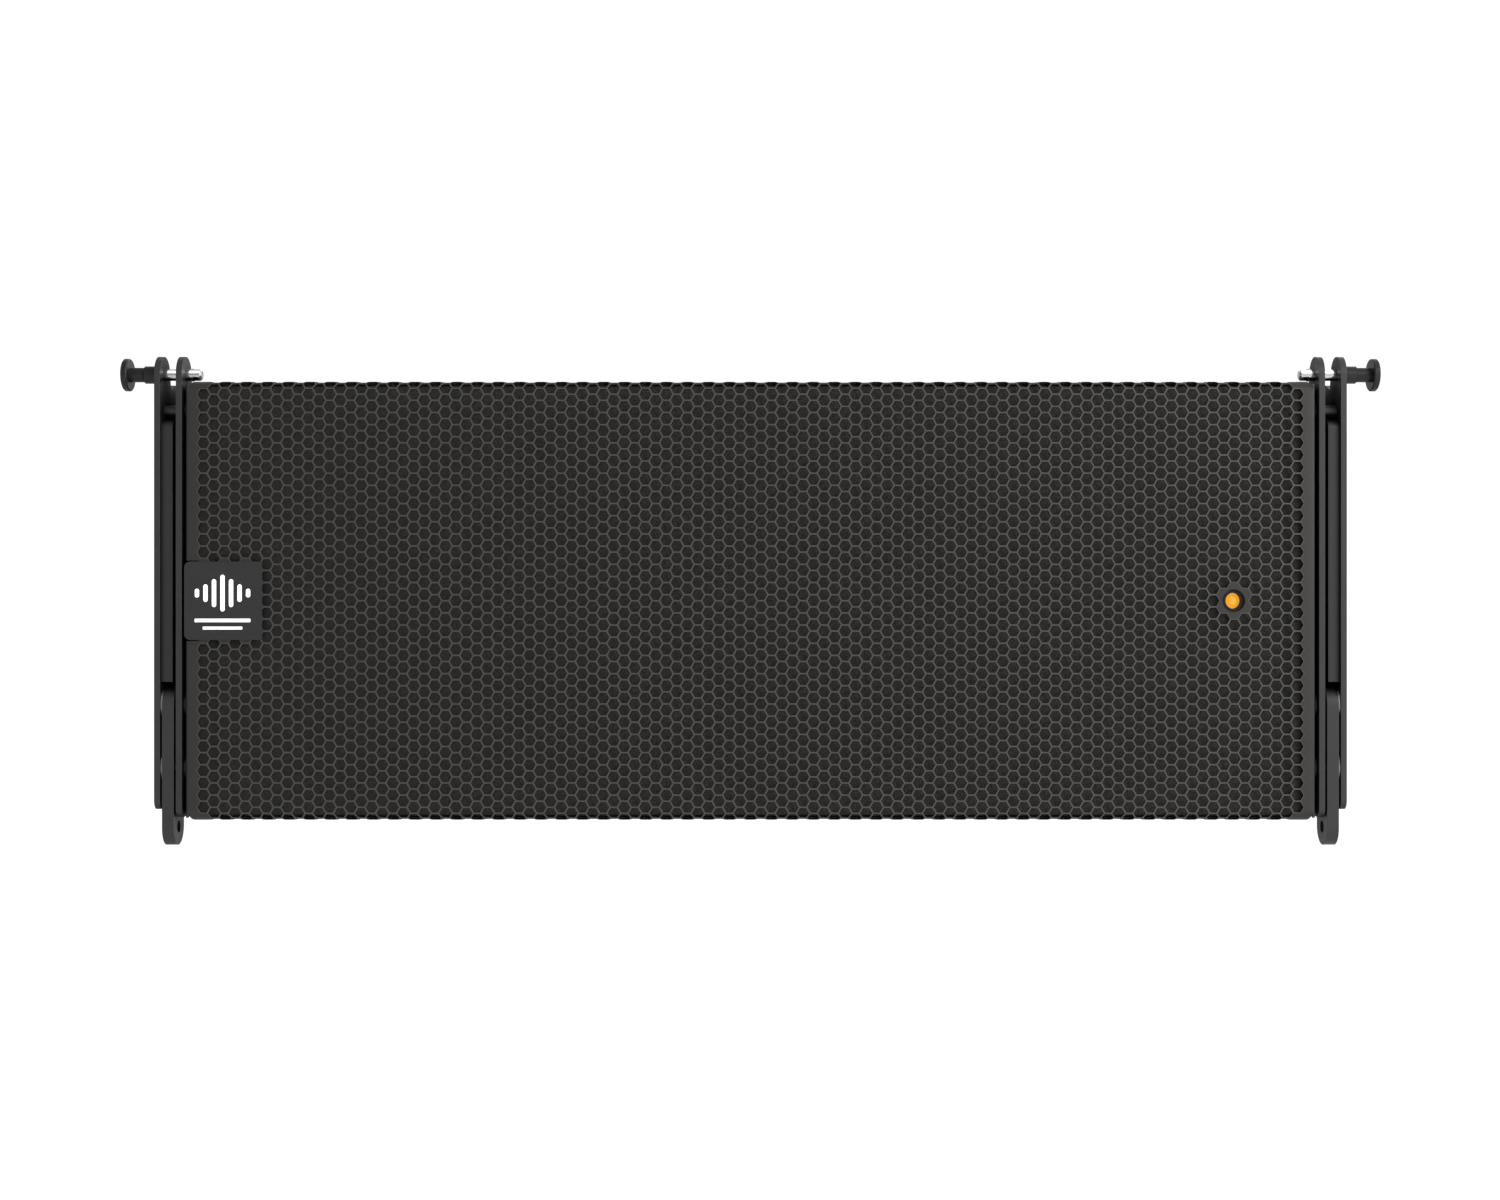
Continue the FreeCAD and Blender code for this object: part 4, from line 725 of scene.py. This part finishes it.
def soft_slab(name, low, high, cell, swell, material, body, window=None):
    """A closed slab whose front face (towards -Y) is crowned and uneven; window is a round hole (x, z, radius)."""
    bm = bmesh.new()
    count_x = max(2, round((high.x - low.x) / cell))
    count_z = max(2, round((high.z - low.z) / cell))
    grids = []
    for back in (False, True):
        grid = []
        for i in range(count_x + 1):
            column = []
            for k in range(count_z + 1):
                x = low.x + (high.x - low.x) * i / count_x
                z = low.z + (high.z - low.z) * k / count_z
                if window:
                    away = Vector((x - window[0], z - window[1]))
                    if away.length < window[2] + cell * 0.5:
                        away = away.normalized() * window[2] if away.length > 1e-6 else Vector((window[2], 0))
                        x, z = window[0] + away.x, window[1] + away.y
                y = high.y
                if not back:
                    rim = min(x - low.x, high.x - x, z - low.z, high.z - z)
                    crown = 1 - max(0.0, 1 - rim / (4 * swell)) ** 2
                    lump = noise.noise(Vector((x, z, high.y)) * 90)
                    y = low.y + swell * (1 - crown) + swell * 0.25 * (1 + lump) * crown
                column.append(bm.verts.new((x, y, z)))
            grid.append(column)
        grids.append(grid)
    front, rear = grids

    def open_cell(i, k):
        if not window:
            return False
        corners = [front[i][k], front[i + 1][k], front[i + 1][k + 1], front[i][k + 1]]
        return all(math.hypot(v.co.x - window[0], v.co.z - window[1]) < window[2] * 1.01 for v in corners)

    for i in range(count_x):
        for k in range(count_z):
            if open_cell(i, k):
                continue
            bm.faces.new([front[i][k], front[i + 1][k], front[i + 1][k + 1], front[i][k + 1]])
            bm.faces.new([rear[i][k + 1], rear[i + 1][k + 1], rear[i + 1][k], rear[i][k]])
    partner = {}
    for column_front, column_rear in zip(front, rear):
        for a, b in zip(column_front, column_rear):
            partner[a] = b
    for edge in [e for e in bm.edges if e.is_boundary and e.verts[0] in partner]:
        a, b = edge.verts
        bm.faces.new([a, b, partner[b], partner[a]])
    loose = [v for v in bm.verts if not v.link_faces]
    bmesh.ops.delete(bm, geom=loose, context="VERTS")
    bmesh.ops.remove_doubles(bm, verts=bm.verts, dist=1e-6)
    bmesh.ops.recalc_face_normals(bm, faces=bm.faces)
    return object_from_bmesh(name, bm, [material], body, 60)


def bring_forward(foam):
    """Brings the foam up to the sheet beside the plain borders and the lamp, where little light would reach it."""
    for vert in foam.data.vertices:
        if vert.co.y > foam_high.y - 1 * MM:
            continue
        side = (22 * MM - EDGE + abs(vert.co.x)) / (6 * MM)
        lamp = (26 * MM - math.hypot(vert.co.x - LAMP.x, vert.co.z)) / (8 * MM)
        vert.co.y -= FOAM_SETBACK * min(1.0, max(0.0, side, lamp))


def build_soft_pieces():
    start = foam_low + Vector((0, FOAM_SETBACK, 0))
    foam = soft_slab("grille_foam_sheet", start, foam_high, 4 * MM, 0.8 * MM, FOAM, CABINET,
                     (LAMP.x, 0, 8.5 * MM))
    bring_forward(foam)
    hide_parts("grille_foam")
    low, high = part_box("damping_lining")
    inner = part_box("chamber_dividers")[1].x
    for word, way in (("left", -1), ("right", 1)):
        ends = sorted((way * (inner + 3 * MM), way * high.x))
        pad = soft_slab(f"{word}_wadding", Vector((ends[0], low.y, low.z)), Vector((ends[1], high.y, high.z)),
                        7 * MM, 6 * MM, WADDING, CABINET)
        modifier(pad, "SUBSURF", levels=1, render_levels=1)
        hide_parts("damping_lining")


# ======================================================================================
# pin springs
# ======================================================================================

PINS = ("left_front_pin", "left_rear_pin", "right_front_pin", "right_rear_pin")


def part_of(node, wanted):
    """Copy of a CAD node's mesh with only the vertices that are wanted."""
    bm = bmesh.new()
    bm.from_mesh(node.data)
    dropped = [vert for vert in bm.verts if not wanted(vert.co)]
    bmesh.ops.delete(bm, geom=dropped, context="VERTS")
    return bm


def build_latches():
    """Each pin's balls and spring as two pieces, the spring with a mesh of its own."""
    for pin in PINS:
        latch = frame["nodes"][f"{pin}_ball_latch"]
        low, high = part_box(f"{pin}_knob")
        balls = part_of(latch, lambda place: not low.x < place.x < high.x)
        spring = part_of(latch, lambda place: low.x < place.x < high.x)
        object_from_bmesh(f"{pin}_balls", balls, [STEEL], pin)
        coil = object_from_bmesh(f"{pin}_spring", spring, [STEEL], pin, 60)
        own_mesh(coil)
        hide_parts(f"{pin}_ball_latch")


# ======================================================================================
# badge
# ======================================================================================


def rounded_bar(bm, centre, width, height, front, depth, radius, points=6):
    """A flat bar with rounded corners standing proud of the badge."""
    outline = []
    for corner, (sx, sz) in enumerate(((1, 1), (-1, 1), (-1, -1), (1, -1))):
        for k in range(points + 1):
            turn = math.pi / 2 * (corner + k / points)
            x = centre[0] + sx * (width / 2 - radius) + radius * math.cos(turn)
            z = centre[1] + sz * (height / 2 - radius) + radius * math.sin(turn)
            outline.append((x, z))
    near = [bm.verts.new((x, front, z)) for x, z in outline]
    far = [bm.verts.new((x, front + depth, z)) for x, z in outline]
    bm.faces.new(near)
    bm.faces.new(list(reversed(far)))
    for k in range(len(outline)):
        n = (k + 1) % len(outline)
        bm.faces.new([near[k], far[k], far[n], near[n]])


def build_badge():
    """Generic mark: a row of sound-level bars over two plain rules."""
    middle = (badge_low.x + badge_high.x) / 2 - 0.3 * MM
    ink = 0.3 * MM
    front = badge_low.y - 0.06 * MM
    bm = bmesh.new()
    heights = (6, 12, 19, 25, 19, 12, 6)
    gap = 5.8 * MM
    for index, tall in enumerate(heights):
        x = middle + (index - len(heights) // 2) * gap
        rounded_bar(bm, (x, 5.2 * MM), 3.0 * MM, tall * MM, front, ink, 1.5 * MM)
    rounded_bar(bm, (middle, -13.4 * MM), 38 * MM, 2.4 * MM, front, ink, 0.5 * MM)
    rounded_bar(bm, (middle, -18.6 * MM), 27 * MM, 2.0 * MM, front, ink, 0.5 * MM)
    bmesh.ops.recalc_face_normals(bm, faces=bm.faces)
    object_from_bmesh("badge_mark", bm, [WHITE_INK], CABINET)


# ======================================================================================
# stage
# ======================================================================================

VIEW_WIDTH = 1.0218
CAMERA_DISTANCE = 1.362
SENSOR = 36.0


def build_camera():
    data = bpy.data.cameras.new("camera")
    data.sensor_width = SENSOR
    data.sensor_fit = "HORIZONTAL"
    data.lens = SENSOR * CAMERA_DISTANCE / VIEW_WIDTH
    data.clip_start = 0.05
    data.clip_end = 50
    camera = bpy.data.objects.new("camera", data)
    camera.location = (-0.0003, FRONT - CAMERA_DISTANCE, 0.0005)
    camera.rotation_euler = (math.pi / 2, 0, 0)
    bpy.context.scene.collection.objects.link(camera)
    bpy.context.scene.camera = camera


def area_light(name, place, target, size, power):
    data = bpy.data.lights.new(name, "AREA")
    data.shape = "RECTANGLE"
    data.size, data.size_y = size
    data.energy = power
    light = bpy.data.objects.new(name, data)
    light.location = place
    light.rotation_euler = (Vector(target) - Vector(place)).to_track_quat("-Z", "Y").to_euler()
    light.visible_camera = False
    bpy.context.scene.collection.objects.link(light)
    return light


def world_ramp(tree, source, low, high, to_low, to_high):
    ramp = tree.nodes.new("ShaderNodeMapRange")
    tree.links.new(source, ramp.inputs[0])
    for index, number in enumerate((low, high, to_low, to_high), start=1):
        ramp.inputs[index].default_value = number
    return ramp.outputs[0]


def build_world():
    """White surround: pure white to the camera; as a light, dimmer at the front left and brighter behind it."""
    world = bpy.data.worlds.new("studio")
    bpy.context.scene.world = world
    world.use_nodes = True
    tree = world.node_tree
    tree.nodes.clear()
    place = tree.nodes.new("ShaderNodeTexCoord")
    split = tree.nodes.new("ShaderNodeSeparateXYZ")
    tree.links.new(place.outputs["Generated"], split.inputs[0])
    across = world_ramp(tree, split.outputs["X"], -0.5, 0.5, 0.14, 1.0)
    towards = tree.nodes.new("ShaderNodeVectorMath")
    towards.operation = "DOT_PRODUCT"
    tree.links.new(place.outputs["Generated"], towards.inputs[0])
    towards.inputs[1].default_value = (-0.6, 0.8, 0)
    behind = world_ramp(tree, towards.outputs["Value"], 0.35, 0.65, 0.0, 0.8)
    light = tree.nodes.new("ShaderNodeMath")
    light.operation = "MAXIMUM"
    tree.links.new(across, light.inputs[0])
    tree.links.new(behind, light.inputs[1])
    seen = tree.nodes.new("ShaderNodeLightPath")
    strength = tree.nodes.new("ShaderNodeMix")
    tree.links.new(seen.outputs["Is Camera Ray"], strength.inputs[0])
    tree.links.new(light.outputs[0], strength.inputs[2])
    strength.inputs[3].default_value = 1.0
    background = tree.nodes.new("ShaderNodeBackground")
    background.inputs["Color"].default_value = (1, 1, 1, 1)
    tree.links.new(strength.outputs[0], background.inputs["Strength"])
    output = tree.nodes.new("ShaderNodeOutputWorld")
    tree.links.new(background.outputs[0], output.inputs["Surface"])


def pale_floor_material():
    """Matt white floor that reads as white to the camera, with only a faint shadow."""
    s = Shader("pale_floor")
    s.set(Base_Color=s.mix(s.noise(400, 3), grey(0.84), grey(0.86)), Roughness=0.9)
    glow = s.add("ShaderNodeEmission")
    glow.inputs["Color"].default_value = (1, 1, 1, 1)
    glow.inputs["Strength"].default_value = 1.15
    seen = s.add("ShaderNodeLightPath")
    blend = s.add("ShaderNodeMixShader")
    s.link(s.math("MULTIPLY", seen.outputs["Is Camera Ray"], 0.9), blend.inputs[0])
    s.link(s.surface.outputs[0], blend.inputs[1])
    s.link(glow.outputs[0], blend.inputs[2])
    s.link(blend.outputs[0], s.output.inputs["Surface"])
    return s.material


def build_stage():
    """A wide floor that curves up behind."""
    level = cad_box[0][2] - 0.29
    bm = bmesh.new()
    half, back, rise = 6.0, 4.0, 2.0
    profile = [(-6.0, level)] + [
        (back + rise * math.sin(math.radians(9 * k)), level + rise * (1 - math.cos(math.radians(9 * k))))
        for k in range(11)] + [(back + rise, level + 5.0)]
    rows = [[bm.verts.new((x, y, z)) for x in (-half, half)] for y, z in profile]
    for near, far in zip(rows, rows[1:]):
        bm.faces.new([near[0], near[1], far[1], far[0]])
    mesh = bpy.data.meshes.new("floor")
    bm.to_mesh(mesh)
    bm.free()
    mesh.shade_smooth()
    floor = bpy.data.objects.new("floor", mesh)
    mesh.materials.append(pale_floor_material())
    bpy.context.scene.collection.objects.link(floor)


def build_lights():
    area_light("key", (1.9, -1.7, 0.9), (0.1, -0.2, 0), (1.4, 1.4), 26)
    area_light("fill", (-1.9, -1.7, 0.6), (0, -0.2, 0), (1.2, 1.2), 2.4)
    area_light("rear", (0.6, 2.2, 1.3), (0, 0, 0), (1.6, 1.0), 12)
    strip = area_light("pin_strip", (0, -0.9, 1.4), (0, -0.2, 0.1), (3.0, 1.6), 26)
    polished = bpy.data.collections.new("polished")
    for name, piece in frame["nodes"].items():
        if name.endswith("pin_shank") or name == "rigging_washers":
            polished.objects.link(piece)
    strip.light_linking.receiver_collection = polished


dress_cad_nodes()
build_grille()
build_soft_pieces()
build_latches()
build_badge()
build_stage()
build_world()
build_lights()
build_camera()
scene = bpy.context.scene
scene.view_settings.view_transform = "Standard"
scene.view_settings.look = "None"
